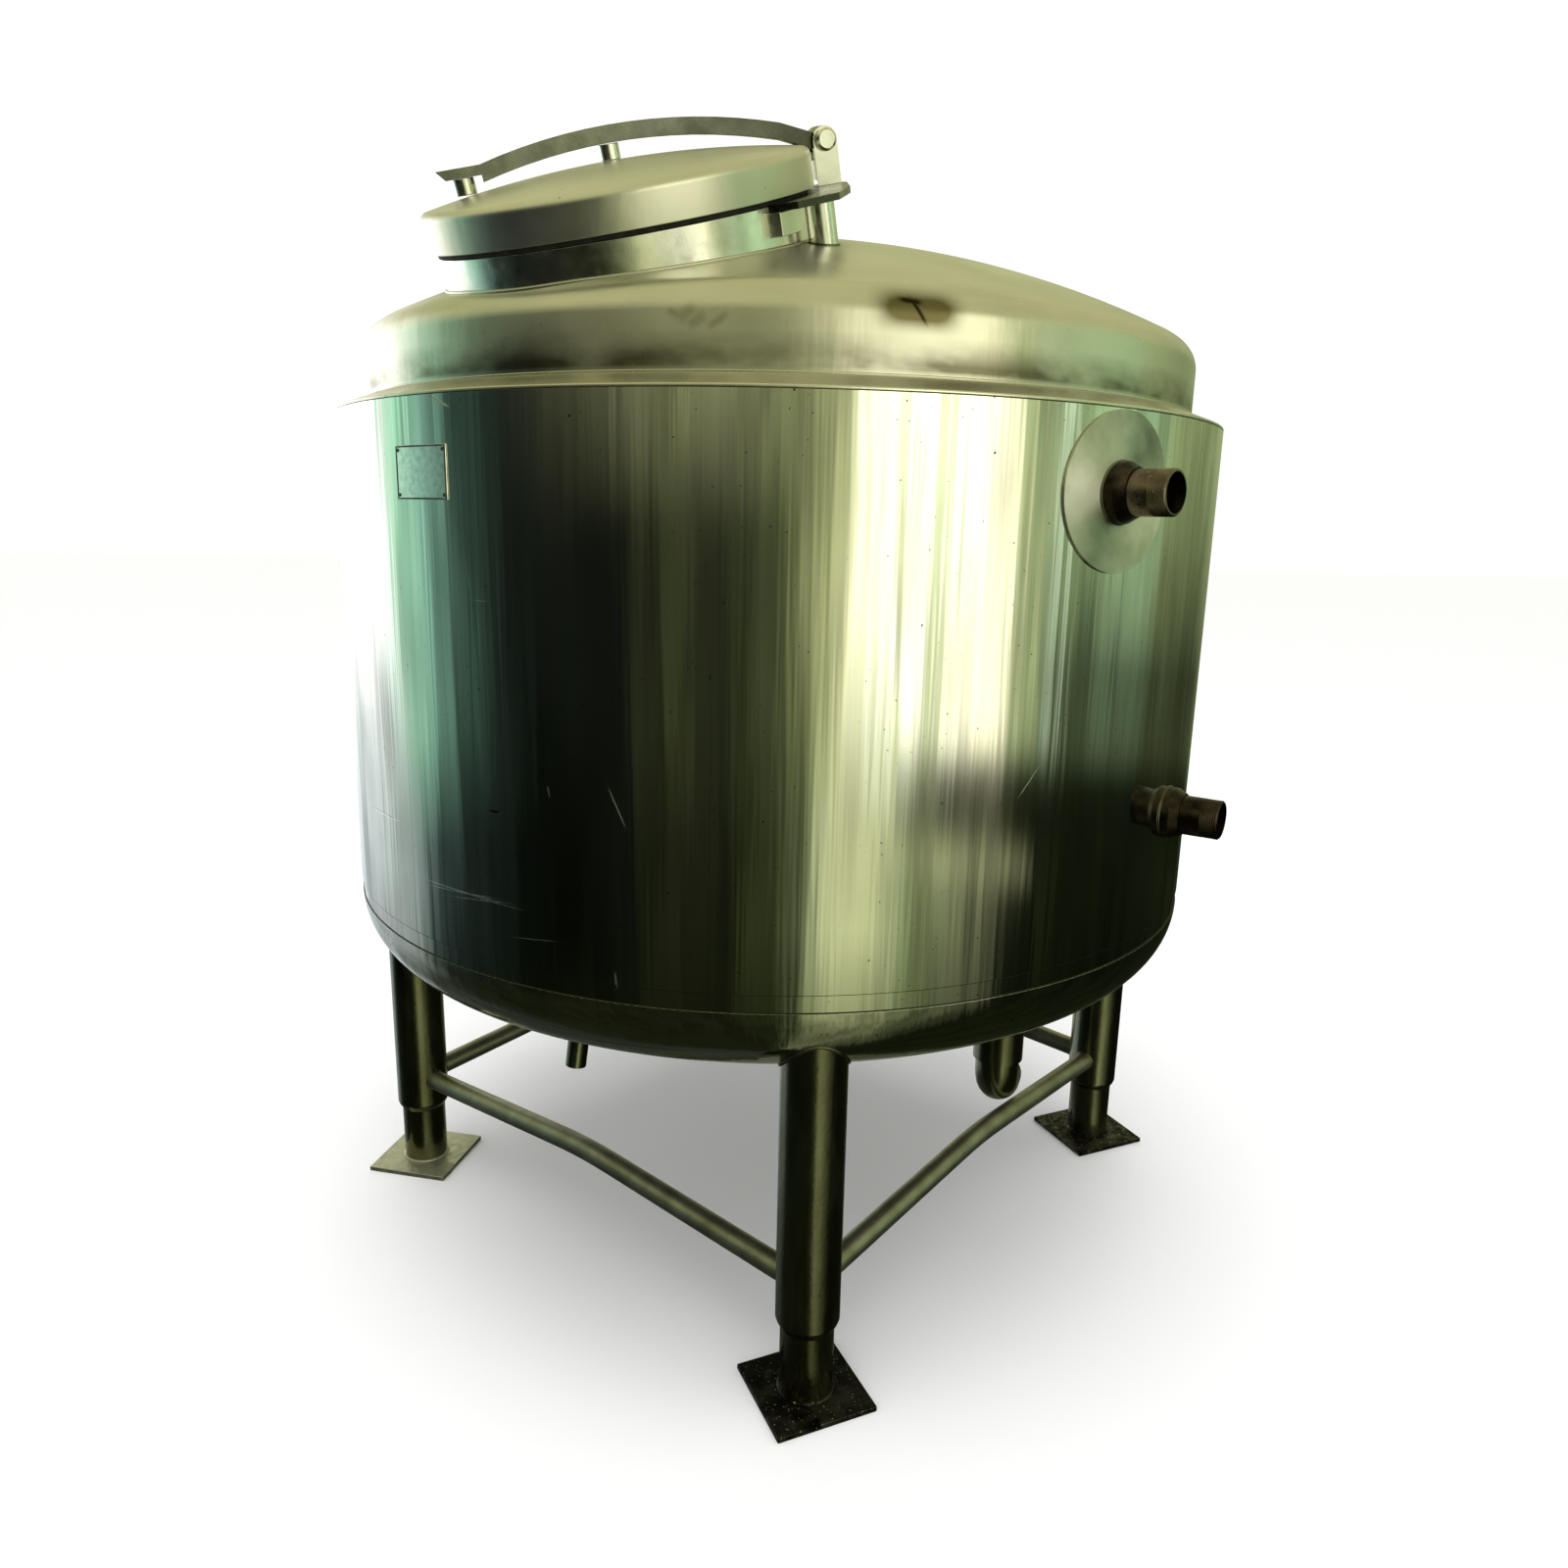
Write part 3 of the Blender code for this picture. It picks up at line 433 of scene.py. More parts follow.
def swept(name, points, radius, resolution, closed=False, narrowed=1.0):
    """A round section swept through the points; narrowed is its share at every other one."""
    curve = bpy.data.curves.new(name, "CURVE")
    curve.dimensions = "3D"
    curve.bevel_depth = radius
    curve.bevel_resolution = resolution
    curve.use_fill_caps = True
    spline = curve.splines.new("POLY")
    spline.points.add(len(points) - 1)
    spline.use_cyclic_u = closed
    for index, (point, spot) in enumerate(zip(spline.points, points)):
        point.co = (*spot, 1.0)
        point.radius = 1.0 if index % 2 else narrowed
    put_in(name, curve)
    bpy.ops.object.convert(target="MESH")
    edit_all()
    bpy.ops.mesh.remove_doubles(threshold=MERGE_DISTANCE)
    bpy.ops.mesh.normals_make_consistent(inside=False)
    bpy.ops.object.mode_set(mode="OBJECT")
    return bpy.context.object


def weld(name, points, radius, material=weld_metal):
    """A bead of weld metal round a joint, with a ripple at every other point."""
    bead = swept(name, points, radius, 2, closed=True, narrowed=0.9)
    bpy.ops.object.shade_smooth()
    return finished(bead, material)


def circle(radius, steps, height, place=Matrix.Identity(4)):
    """Points of a circle at a height along a place's Z axis."""
    turns = [math.tau * step / steps for step in range(steps)]
    return [place @ Vector((radius * math.cos(turn), radius * math.sin(turn), height))
            for turn in turns]


def joint_ring(where, radius, inside, low, high, steps=96):
    """Points where a tube of that radius along a place's Z comes out of a body.

    inside says whether a point is in that body; it holds at low and no longer at high.
    """
    points = []
    for foot in circle(radius, steps, 0.0):
        near, far = low, high
        for halving in range(24):
            middle = (near + far) / 2
            if inside(where @ (foot + middle * UP)):
                near = middle
            else:
                far = middle
        points.append(where @ (foot + near * UP))
    return points


# Ground seams: the flushed beads of the two round seams, painted dark as the shade in each seam's
# step
SEAM_BEAD = 0.0009
SEAM_STEPS = 720
seam_metal, shader, place = new_material("ground_seam_painted_shade", 1.0, 0.45)
# Painted shade: one dark colour on the beads stands for the shade along the seams
shader.inputs["Base Color"].default_value = linear("3d3c2c")
for level, seam_z in (("upper", JACKET_SEAM_Z), ("lower", BAND_LOW_Z)):
    seam = circle(JACKET_RADIUS - SEAM_BEAD, SEAM_STEPS, seam_z)
    weld(f"{level}_seam_weld", seam, SEAM_BEAD, seam_metal)

# Roof and shoulder
# The dished roof of the vessel stands in the jacket's sloped shoulder and is welded to it all
# round. Both were spun or rolled from 304 sheet, glass blasted and wiped, so they are satin.
ROOF_WALL = 0.003
ROOF_FLANGE_Z = 1.404
ROOF_KNUCKLE = 0.042
ROOF_JOIN = math.asin((VESSEL_RADIUS - ROOF_KNUCKLE) / (CROWN_RADIUS - ROOF_KNUCKLE))
ROOF_CENTRE_Z = ROOF_FLANGE_Z - (CROWN_RADIUS - ROOF_KNUCKLE) * math.cos(ROOF_JOIN)
SHOULDER_BEAD = 0.0016
MANWAY_AZIMUTH = -34.9
MANWAY_REACH = 0.425
MANWAY_Z = 1.5602
MANWAY_TILT = math.radians(20.2)
NECK_RADIUS = 0.2435
NECK_SIDES = 192

down = place_at(MANWAY_AZIMUTH, 1.0)
neck_axis = math.sin(MANWAY_TILT) * down + math.cos(MANWAY_TILT) * UP
neck_slope = math.cos(MANWAY_TILT) * down - math.sin(MANWAY_TILT) * UP
manway = facing(place_at(MANWAY_AZIMUTH, MANWAY_REACH, MANWAY_Z), neck_axis, neck_slope)


def under_roof(point):
    """Whether a point lies under the roof's outer face, a crown with a knuckle round it."""
    past_crown = math.hypot(point.x, point.y) - (VESSEL_RADIUS - ROOF_KNUCKLE)
    if past_crown > ROOF_KNUCKLE * math.sin(ROOF_JOIN):
        return math.hypot(past_crown, max(point.z - ROOF_FLANGE_Z, 0.0)) < ROOF_KNUCKLE
    return (point - ROOF_CENTRE_Z * UP).length < CROWN_RADIUS


# Satin sheet: soft and yellowish under a film of dust, with finger marks, one oily stain and
# brown water marks along the foot of the wall. The belt went only over the roof's wall and
# knuckle, which mirror more than the blasted crown.
STAIN = [((2.6, 1.4120), (14.0, 1.4085), 0.030)]
STREAKS = [((7.0, 1.4285), (9.4, 1.3905), 0.0036), ((5.8, 1.421), (9.0, 1.417), 0.0050)]
SMUDGES = [((-16.8, 1.405), (-14.8, 1.394), 0.007), ((-15.8, 1.390), (-13.4, 1.410), 0.012),
           ((-14.8, 1.384), (-12.4, 1.401), 0.011), ((-12.8, 1.382), (-10.2, 1.402), 0.007)]
satin_steel, shader, place = new_material("glass_blasted_304_sheet", 1.0, 0.30)
azimuth, height = azimuth_and_height(place)
flat, upright = [add_node(place, "Mapping", {"Vector": place, "Scale": (1.0, 1.0, drawn_out)})
                 for drawn_out in (2.2, 0.15)]
water = patches(flat, 9.0, 3.0, 0.26, 0.60, most=0.85, roughness=0.55)
water = faded(water, (height, 1.384, 1.352), (height, 1.3395, 1.3465))
colour = coated("dbd9cb", (patches(place, 4.0, 4.0, 0.35, 0.70), "c6c4b0"), (water, "4d462b"))
for marks, dirt, full in ((STAIN, "6d6546", 0.7), (STREAKS, "2b2413", 0.8),
                          (SMUDGES, "8f8966", 2.2)):
    share = add_node(place, "MapRange", {
        "Value": marked(azimuth, height, marks, VESSEL_RADIUS), "From Max": full})
    colour = coated(colour, (share, dirt))
colour = coated(colour, (patches(place, 75.0, 2.0, 0.77, 0.82), "6b6346"))
dull = add_node(place, "Math", {0: patches(place, 12.0, 5.0, 0.3, 0.7, 0.30, 0.42),
                                1: faded(-0.08, (height, 1.475, 1.405))}, operation="ADD")
waves = relief(upright, 60.0, 3.0, 0.0003, relief(place, 6.0, 2.0, 0.003))
feed(shader, Base_Color=colour, Roughness=dull, Normal=waves)

roof_dish = dish("roof_dish", (VESSEL_RADIUS, ROOF_FLANGE_Z, ROOF_KNUCKLE, CROWN_RADIUS, 1),
                 ROOF_WALL, [(VESSEL_RADIUS - ROOF_WALL, ROOF_JOINT_Z),
                             (VESSEL_RADIUS, ROOF_JOINT_Z)])
cut_by(roof_dish, rod("saw", NECK_RADIUS + SEAM_GAP, low=-0.25, high=0.06, place=manway,
                      sides=NECK_SIDES))
finished(roof_dish, satin_steel, "roof")

base = JACKET_TOP_Z + SEAM_GAP
edge = VESSEL_RADIUS + SEAM_GAP
rim_z = base + SHOULDER_RISE + SHOULDER_SHEET
shoulder = turned("shoulder_sheet", [
    (JACKET_RADIUS, base + SHOULDER_SHEET), (JACKET_RADIUS, base), (edge, base + SHOULDER_RISE),
    (edge, rim_z), (JACKET_RADIUS, base + SHOULDER_SHEET)])
finished(eased(shoulder, 0.0015), satin_steel, "shoulder_ring")
weld("shoulder_weld", circle(VESSEL_RADIUS + SHOULDER_BEAD / 2, SEAM_STEPS, rim_z),
     SHOULDER_BEAD, satin_steel)

# Manway
# The round neck that a person climbs in through, its flat rubber gasket and the domed lid. The
# neck is welded into the roof, and the lid was spun from sheet with a straight skirt.
NECK_WALL = 0.004
NECK_DEPTH = 0.110
NECK_BEAD = 0.0026
GASKET_INNER = 0.2345
GASKET_OUTER = 0.2435
GASKET_HEIGHT = 0.006
LID_RADIUS = 0.2535
LID_WALL = 0.003
LID_SKIRT = 0.035
LID_KNUCKLE = 0.012
LID_HEIGHT = 0.067
LID_LIP_INNER = 0.2305
lid_reach = LID_RADIUS - LID_KNUCKLE
lid_rise = LID_HEIGHT - LID_SKIRT
LID_CROWN = (lid_reach ** 2 + lid_rise ** 2 - LID_KNUCKLE ** 2) / (2 * (lid_rise - LID_KNUCKLE))

# Black rubber, matt, greyed by dust in patches
gasket_rubber, shader, place = new_material("nitrile_rubber", 0.0, 0.75)
feed(shader, Base_Color=coated("0c0c09", (patches(place, 90.0, 3.0, 0.4, 0.7), "1c1b16")))

# Ground fittings: turned and ground stainless steel, brighter than the sheet. Real grinding
# lines are ten times as fine as these of 2 mm, which are as fine as the picture shows.
ground_steel, shader, place = new_material("ground_304_fittings", 1.0, 0.22)
grinding = add_node(place, "Mapping", {"Vector": place, "Scale": (1.0, 1.0, 0.05)})
feed(shader, Base_Color=coated("eeeee6", (patches(place, 14.0, 4.0, 0.4, 0.7), "cfcec0")),
     Roughness=patches(place, 60.0, 4.0, 0.3, 0.7, 0.14, 0.28),
     Normal=relief(grinding, 500.0, 2.0, 0.00005))

# Old bar: the same steel, hand-worn and filmed over, so it is darker than what it clamps, and
# painted darker towards its hinge as shade
worn_steel, shader, place = new_material("hand_worn_304_bar_painted_shade", 1.0, 0.30)
side = add_node(place, "SeparateXYZ", {"Vector": place}).outputs["X"]
# Painted shade: the bar and its plate darken from X = -0.30 to X = -0.02, towards the hinge
greased = faded(0.75, (side, -0.30, -0.02))
film = patches(place, 20.0, 5.0, 0.35, 0.70)
feed(shader, Base_Color=coated("8f9188", (film, "66685c"), (greased, "3d3e31")),
     Roughness=patches(place, 70.0, 4.0, 0.3, 0.7, 0.20, 0.38),
     Normal=relief(place, 260.0, 3.0, 0.0001))

neck_tube = sleeve("neck_tube", NECK_RADIUS, NECK_RADIUS - NECK_WALL,
                   -GASKET_HEIGHT - 2 * SEAM_GAP, -NECK_DEPTH, sides=NECK_SIDES, place=manway)
finished(eased(neck_tube), ground_steel, "manway_neck")
neck_foot = joint_ring(manway, NECK_RADIUS + 0.0010, under_roof, low=-0.20, high=0.02, steps=420)
weld("neck_weld", neck_foot, NECK_BEAD, satin_steel)

gasket = sleeve("lid_gasket", GASKET_OUTER, GASKET_INNER, -SEAM_GAP, -GASKET_HEIGHT - SEAM_GAP,
                sides=NECK_SIDES, place=manway)
finished(eased(gasket, 0.0015), gasket_rubber, "manway_gasket")

lid_dome = dish("lid_dome", (LID_RADIUS, LID_SKIRT, LID_KNUCKLE, LID_CROWN, 1), LID_WALL, [
    (LID_RADIUS - LID_WALL, LID_WALL), (LID_LIP_INNER, LID_WALL), (LID_LIP_INNER, 0.0),
    (LID_RADIUS, 0.0)], sides=NECK_SIDES, place=manway)
finished(eased(lid_dome), satin_steel, "manway_lid", "lid")

# Lid clamp and hinge
# A flat bar, bent to an arch, holds the lid at a short post and a boss and turns on a pin in a
# forked post. That post stands on a plate, a box bracket and a tube beside the neck.
CLAMP_TURN = math.radians(-48.0)
BAR_WIDTH = 0.026
CLAMP_POST_X = 0.188
CLAMP_POST_RADIUS = 0.0135
BOSS_RADIUS = 0.013
PIN_X = -0.278
PIN_Z = 0.048
PIN_RADIUS = 0.008
PIN_HEAD_RADIUS = 0.0135
PIN_HEAD_DEPTH = 0.010
PIN_HEAD_CHAMFER = 0.003
PIN_TAIL = 0.004
FORK_HALF_WIDTH = BAR_WIDTH / 2 + 0.0085
PLATE_TOP_Z = -0.005
PLATE_THICKNESS = 0.008
STAND_TURN = math.radians(148.0)
STAND_REACH = 0.268
STAND_RADIUS = 0.0185
STAND_BEAD = 0.0022
clamp = manway @ Matrix.Rotation(CLAMP_TURN, 4, "Z")


def lid_height(reach):
    """Height of the lid's outer face at a distance from its axis."""
    return LID_HEIGHT - LID_CROWN + math.sqrt(LID_CROWN ** 2 - reach ** 2)


def smoothed_copy(name, node, width):
    """A merged copy of a plain solid, with its flats made whole and its edges broken."""
    piece = put_in(name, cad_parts[node].data.copy())
    edit_all()
    bpy.ops.mesh.remove_doubles(threshold=MERGE_DISTANCE)
    bpy.ops.mesh.dissolve_limited(angle_limit=math.radians(1.0))
    bpy.ops.object.mode_set(mode="OBJECT")
    bpy.ops.object.shade_smooth_by_angle(angle=SMOOTH_UNDER)
    return eased(piece, width)


for name, node, body, width, material in (
        ("arched_bar", "clamp_bar", "lid", 0.0015, worn_steel),
        ("fork_post", "hinge_post", "tank", 0.0012, ground_steel),
        ("shelf_plate", "hinge_plate", "tank", 0.0012, worn_steel),
        ("box_bracket", "hinge_bracket", "tank", 0.0020, ground_steel)):
    finished(smoothed_copy(name, node, width), material, node, body)

# The boss and the post stand between the lid and the bar, as high as their plain solids
for name, node, radius, x in (("boss", "lid_boss", BOSS_RADIUS, 0.0),
                              ("tab_post", "clamp_post", CLAMP_POST_RADIUS, CLAMP_POST_X)):
    top = max((clamp.inverted() @ vertex.co).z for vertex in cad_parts[node].data.vertices)
    low = lid_height(x - radius if x else 0.0) + SEAM_GAP
    post = rod(name, radius, low, top, clamp @ Matrix.Translation((x, 0.0, 0.0)))
    finished(eased(post, 0.001), ground_steel, node, "lid")

pin_place = clamp @ Matrix.Translation((PIN_X, 0.0, PIN_Z)) @ Matrix.Rotation(-math.pi / 2, 4, "X")
head_low = FORK_HALF_WIDTH + SEAM_GAP
head_high = head_low + PIN_HEAD_DEPTH
pin_end = -FORK_HALF_WIDTH - PIN_TAIL
pin = turned("pivot_pin", [
    (POLE, head_high), (PIN_HEAD_RADIUS - PIN_HEAD_CHAMFER, head_high),
    (PIN_HEAD_RADIUS, head_high - PIN_HEAD_CHAMFER), (PIN_HEAD_RADIUS, head_low),
    (PIN_RADIUS, head_low), (PIN_RADIUS, pin_end), (POLE, pin_end)], sides=48, place=pin_place)
finished(eased(pin, 0.0005), ground_steel, "hinge_pin")

stand_place = clamp @ Matrix.Translation((STAND_REACH * math.cos(STAND_TURN),
                                          STAND_REACH * math.sin(STAND_TURN), 0.0))
stand_foot = joint_ring(stand_place, STAND_RADIUS, under_roof, low=-0.18, high=0.0, steps=48)
stand_low = min((stand_place.inverted() @ point).z for point in stand_foot)
stand = rod("stand_tube", STAND_RADIUS, stand_low - 0.01,
            PLATE_TOP_Z - PLATE_THICKNESS - SEAM_GAP, stand_place)
edit_all()
foot_middle = sum(stand_foot, Vector()) / len(stand_foot)
bpy.ops.mesh.bisect(plane_co=foot_middle, plane_no=foot_middle - ROOF_CENTRE_Z * UP,
                    use_fill=True, clear_inner=True)
bpy.ops.object.mode_set(mode="OBJECT")
finished(eased(stand, 0.001), ground_steel, "hinge_stand")
weld("stand_weld", stand_foot, STAND_BEAD)

# Nozzles
# Two 2 inch pipe stubs for hoses, each in a conical collar. Their outer ends carry a taper
# thread. The upper one sits on a round reinforcing pad. Welding left both pipes brown; the
# lower pipe and both collars are painted near black as shade.
NOZZLE_BORE = 0.0243
NOZZLE_REACH = {"upper": 0.074, "lower": 0.076}
NOZZLE_CHAMFER = 0.002
THREAD_PITCH = 0.0030
THREAD_TURNS = 7
THREAD_DEPTH = 0.0011
COLLAR_RADIUS = 0.037
COLLAR_REACH = 0.024
COLLAR_SINK = 0.003
COLLAR_BEAD = 0.0022
DRUM_HALF = 0.06
PAD_RADIUS = 0.097
PAD_SHEET = 0.003

# Heat-tinted pipe: brown oxide, rubbed brighter here and there
tinted_steel, shader, place = new_material("heat_tinted_316_pipe", 1.0, 0.30)
oxide = patches(place, 35.0, 4.0, 0.35, 0.65)
rubbed = patches(place, 180.0, 3.0, 0.64, 0.72)
feed(shader, Base_Color=coated("857869", (oxide, "5e5146"), (rubbed, "a89f90")),
     Roughness=patches(place, 80.0, 4.0, 0.3, 0.7, 0.20, 0.40),
     Normal=relief(place, 300.0, 3.0, 0.00015))

# Dark collar: the same brown oxide, painted nearly black as shade
burnt_steel, shader, place = new_material("oxide_and_painted_shade_316", 1.0, 0.34)
feed(shader, Base_Color=coated("4a4137", (patches(place, 45.0, 5.0, 0.35, 0.65), "1f1a15")),
     Normal=relief(place, 240.0, 3.0, 0.0002))

for name, nozzle_place in nozzle_places.items():
    reach = NOZZLE_REACH[name]
    inside = -(JACKET_RADIUS - VESSEL_RADIUS) - 2 * VESSEL_WALL
    thread = [(NOZZLE_RADIUS - NOZZLE_CHAMFER, reach)]
    for ridge in range(THREAD_TURNS):
        top = reach - NOZZLE_CHAMFER - ridge * THREAD_PITCH
        thread += [(NOZZLE_RADIUS, top), (NOZZLE_RADIUS - THREAD_DEPTH, top - THREAD_PITCH / 2)]
    thread_end = reach - NOZZLE_CHAMFER - THREAD_TURNS * THREAD_PITCH
    pipe = turned(f"{name}_pipe", thread + [
        (NOZZLE_RADIUS, thread_end), (NOZZLE_RADIUS, inside), (NOZZLE_BORE, inside),
        (NOZZLE_BORE, reach), thread[0]], sides=72, place=nozzle_place)
    # The lower pipe takes the collars' near black finish, which is painted shade
    finished(pipe, tinted_steel if name == "upper" else burnt_steel,
             f"{name}_nozzle")

    hole = NOZZLE_RADIUS + SEAM_GAP
    cone = turned(f"{name}_cone", [
        (hole + NOZZLE_CHAMFER, COLLAR_REACH), (COLLAR_RADIUS, COLLAR_REACH / 2),
        (COLLAR_RADIUS, -COLLAR_SINK), (hole, -COLLAR_SINK), (hole, COLLAR_REACH),
        (hole + NOZZLE_CHAMFER, COLLAR_REACH)], sides=96, place=nozzle_place)
    skin = JACKET_RADIUS + (PAD_SHEET + SEAM_GAP if name == "upper" else 0.0)
    high, low = NOZZLE_Z[name] + DRUM_HALF, NOZZLE_Z[name] - DRUM_HALF
    cut_by(cone, turned("drum", [(POLE, high), (skin, high), (skin, low), (POLE, low)]))
    finished(eased(cone), burnt_steel, f"{name}_collar")
    foot = joint_ring(nozzle_place, COLLAR_RADIUS,
                      lambda point: math.hypot(point.x, point.y) < skin, low=-0.03, high=0.03)
    weld(f"{name}_collar_weld", foot, COLLAR_BEAD)

pad_place = on_skin(NOZZLE_AZIMUTH["upper"], NOZZLE_Z["upper"])


def skin_patch(name, z, half_height, sheet, window):
    """A bent sheet on the jacket: a ring, cut down to the outline of a window body."""
    skin = JACKET_RADIUS + SEAM_GAP
    ring = sleeve(name, skin + sheet, skin, z + half_height, z - half_height)
    return cut_by(ring, window, "INTERSECT")


# Pad: sanded in circles round the nozzle, so that bright fans start at the nozzle's foot
pad_steel, shader, place = new_material("disc_sanded_304_sheet", 1.0, 0.40, 0.98)
spoke = add_node(place, "VectorMath", {0: place, 1: tuple(pad_place.translation)},
                 operation="SUBTRACT")
sanding = add_node(place, "VectorMath", {0: tuple(place_at(NOZZLE_AZIMUTH["upper"], 1.0)),
                                         1: spoke}, operation="CROSS_PRODUCT")
sanding = add_node(place, "VectorMath", {0: sanding}, operation="NORMALIZE")
feed(shader, Base_Color=coated("e2e3da", (patches(place, 22.0, 4.0, 0.4, 0.7), "c0c6b4")),
     Roughness=patches(place, 50.0, 4.0, 0.3, 0.7, 0.36, 0.46),
     Normal=relief(place, 9.0, 2.0, 0.0012), Tangent=sanding)

pad = skin_patch("pad_disc", NOZZLE_Z["upper"], PAD_RADIUS + 0.01, PAD_SHEET,
                 rod("window", PAD_RADIUS, low=-0.1, high=0.1, place=pad_place, sides=160))
finished(eased(drilled(pad, ["upper"]), 0.001), pad_steel,
         "reinforcing_pad")

# Nameplate
# A thin bare aluminium plate, bent to the jacket and held by four dome rivets. Its border is a
# raised line that dirt has turned dark, and nothing is stamped on it.
NAMEPLATE_AZIMUTH = -44.0
NAMEPLATE_Z = 1.227
NAMEPLATE_WIDTH = 0.102
NAMEPLATE_HEIGHT = 0.065
NAMEPLATE_SHEET = 0.0015
BORDER_INSET = 0.0005
BORDER_WIDTH = 0.0025
BORDER_RISE = 0.0004
RIVET_RADIUS = 0.0026
RIVET_INSET = 2.2 * RIVET_RADIUS
WINDOW_DEPTH = 0.2


def block(name, width, height, depth, place):
    """A box centred on a place."""
    return settle(started(name, bpy.ops.mesh.primitive_cube_add, size=1.0,
                          scale=(width, height, depth)), place)


def plate_window(inset):
    """A block that reaches through the jacket, inset from the nameplate's outline."""
    return block("window", NAMEPLATE_WIDTH - 2 * inset, NAMEPLATE_HEIGHT - 2 * inset,
                 WINDOW_DEPTH, on_skin(NAMEPLATE_AZIMUTH, NAMEPLATE_Z))


# Weathered aluminium: greenish grey, dull, rubbed thin in places
aluminium, shader, place = new_material("weathered_aluminium_plate", 1.0, 0.26)
feed(shader, Base_Color=coated("f0f2ec", (patches(place, 120.0, 5.0, 0.4, 0.65), "d6dcd2")),
     Normal=relief(place, 260.0, 3.0, 0.00004))

# Dark line: paint and dirt in the plate's border and round its rivets
border_paint, shader, place = new_material("dirty_black_enamel", 0.0, 0.45)
feed(shader, Base_Color=coated("10140f", (patches(place, 150.0, 3.0, 0.4, 0.75), "39423a")))

plate = skin_patch("bare_plate", NAMEPLATE_Z, NAMEPLATE_HEIGHT, NAMEPLATE_SHEET, plate_window(0.0))
finished(eased(plate, 0.0003), aluminium, "nameplate")
border = skin_patch("plate_border", NAMEPLATE_Z, NAMEPLATE_HEIGHT, NAMEPLATE_SHEET + BORDER_RISE,
                    plate_window(BORDER_INSET))
finished(cut_by(border, plate_window(BORDER_WIDTH)), border_paint)
for side, column in (("left", -1), ("right", 1)):
    for level, row in (("lower", -1), ("upper", 1)):
        aside = column * (NAMEPLATE_WIDTH / 2 - RIVET_INSET)
        azimuth = NAMEPLATE_AZIMUTH + math.degrees(aside / JACKET_RADIUS)
        z = NAMEPLATE_Z + row * (NAMEPLATE_HEIGHT / 2 - RIVET_INSET)
        rivet = turned(f"{level}_{side}_rivet", [
            (POLE, RIVET_RADIUS * 0.6), (RIVET_RADIUS * 0.55, RIVET_RADIUS * 0.5),
            (RIVET_RADIUS * 0.9, RIVET_RADIUS * 0.25), (RIVET_RADIUS, 0.0), (POLE, 0.0)],
            sides=24, place=on_skin(azimuth, z, proud=NAMEPLATE_SHEET))
        finished(rivet, border_paint)

# Outlets
# The jacket's bottom carries the outlet pipe with a screwed elbow, and a short bent-off drain
# stub. Both are drawn stainless tube, welded in.
OUTLET_PLACE = (56.4, 0.445)
OUTLET_RADIUS = 0.0415
OUTLET_END_Z = 0.296
OUTLET_WALL = 0.004
OUTLET_LIP_Z = OUTLET_END_Z + 0.010
OUTLET_BEAD = 0.0028
ELBOW_BORE = 0.031
ELBOW_RADIUS = 0.0365
ELBOW_BEND = 0.048
ELBOW_AXIS_Z = 0.236
ELBOW_AZIMUTH = 156.0
ELBOW_END = 0.016
BEND_STEPS = 12
DRAIN_PLACE = (-53.8, 0.421)
DRAIN_RADIUS = 0.01685
DRAIN_WALL = 0.003
DRAIN_END_Z = 0.302
DRAIN_TILT = math.radians(9.0)
DRAIN_BEAD = 0.0018
SKIN_HOLD = 0.012
UPSIDE_DOWN = Matrix.Rotation(math.pi, 4, "X")
dish_reach = JACKET_RADIUS - BOTTOM_KNUCKLE
dish_join = math.asin(dish_reach / (CROWN_RADIUS - BOTTOM_KNUCKLE))
dish_centre_z = BAND_LOW_Z + (CROWN_RADIUS - BOTTOM_KNUCKLE) * math.cos(dish_join)


def dish_height(reach):
    """Height of the jacket bottom's outer face at a distance from the axis."""
    if reach < dish_reach * CROWN_RADIUS / (CROWN_RADIUS - BOTTOM_KNUCKLE):
        return dish_centre_z - math.sqrt(CROWN_RADIUS ** 2 - reach ** 2)
    drop = BOTTOM_KNUCKLE ** 2 - (reach - dish_reach) ** 2
    return BAND_LOW_Z - math.sqrt(max(drop, 0.0))


def in_dish(point):
    """Whether a point lies above the jacket bottom's outer face."""
    return point.z > dish_height(math.hypot(point.x, point.y))


def trimmed(piece):
    """Cuts a tube off a hair inside the jacket's bottom, so that it ends in that sheet."""
    hollow = dished_end(JACKET_RADIUS, BAND_LOW_Z, BOTTOM_KNUCKLE, CROWN_RADIUS, -1, inset=0.001)
    return cut_by(piece, turned("hollow", hollow + [(JACKET_RADIUS, JACKET_TOP_Z),
                                                    (POLE, JACKET_TOP_Z)]))


def round_bar(name, points, radius):
    """A smooth round bar through the points, with flat ends."""
    bar = swept(name, points, radius, 10)
    bpy.ops.object.shade_smooth_by_angle(angle=math.radians(35.0))
    return bar


# Drawn tube: dull olive grey film over fine lines along the tube, with darker patches and drips
drawn_steel, shader, place = new_material("drawn_304_tube", 1.0, 0.28)
lengthwise, dripping = [
    add_node(place, "Mapping", {"Vector": place, "Scale": (1.0, 1.0, drawn_out)})
    for drawn_out in (0.3, 0.12)]
colour = coated("8f8e7a", (patches(lengthwise, 16.0, 5.0, 0.35, 0.70), "6b6a54"),
                (patches(dripping, 60.0, 4.0, 0.50, 0.75, most=0.5), "4b4936"),
                (patches(place, 190.0, 2.0, 0.72, 0.79), "2b2a1c"))
feed(shader, Base_Color=colour, Roughness=patches(lengthwise, 45.0, 5.0, 0.3, 0.7, 0.13, 0.26),
     Normal=relief(place, 140.0, 4.0, 0.00025))

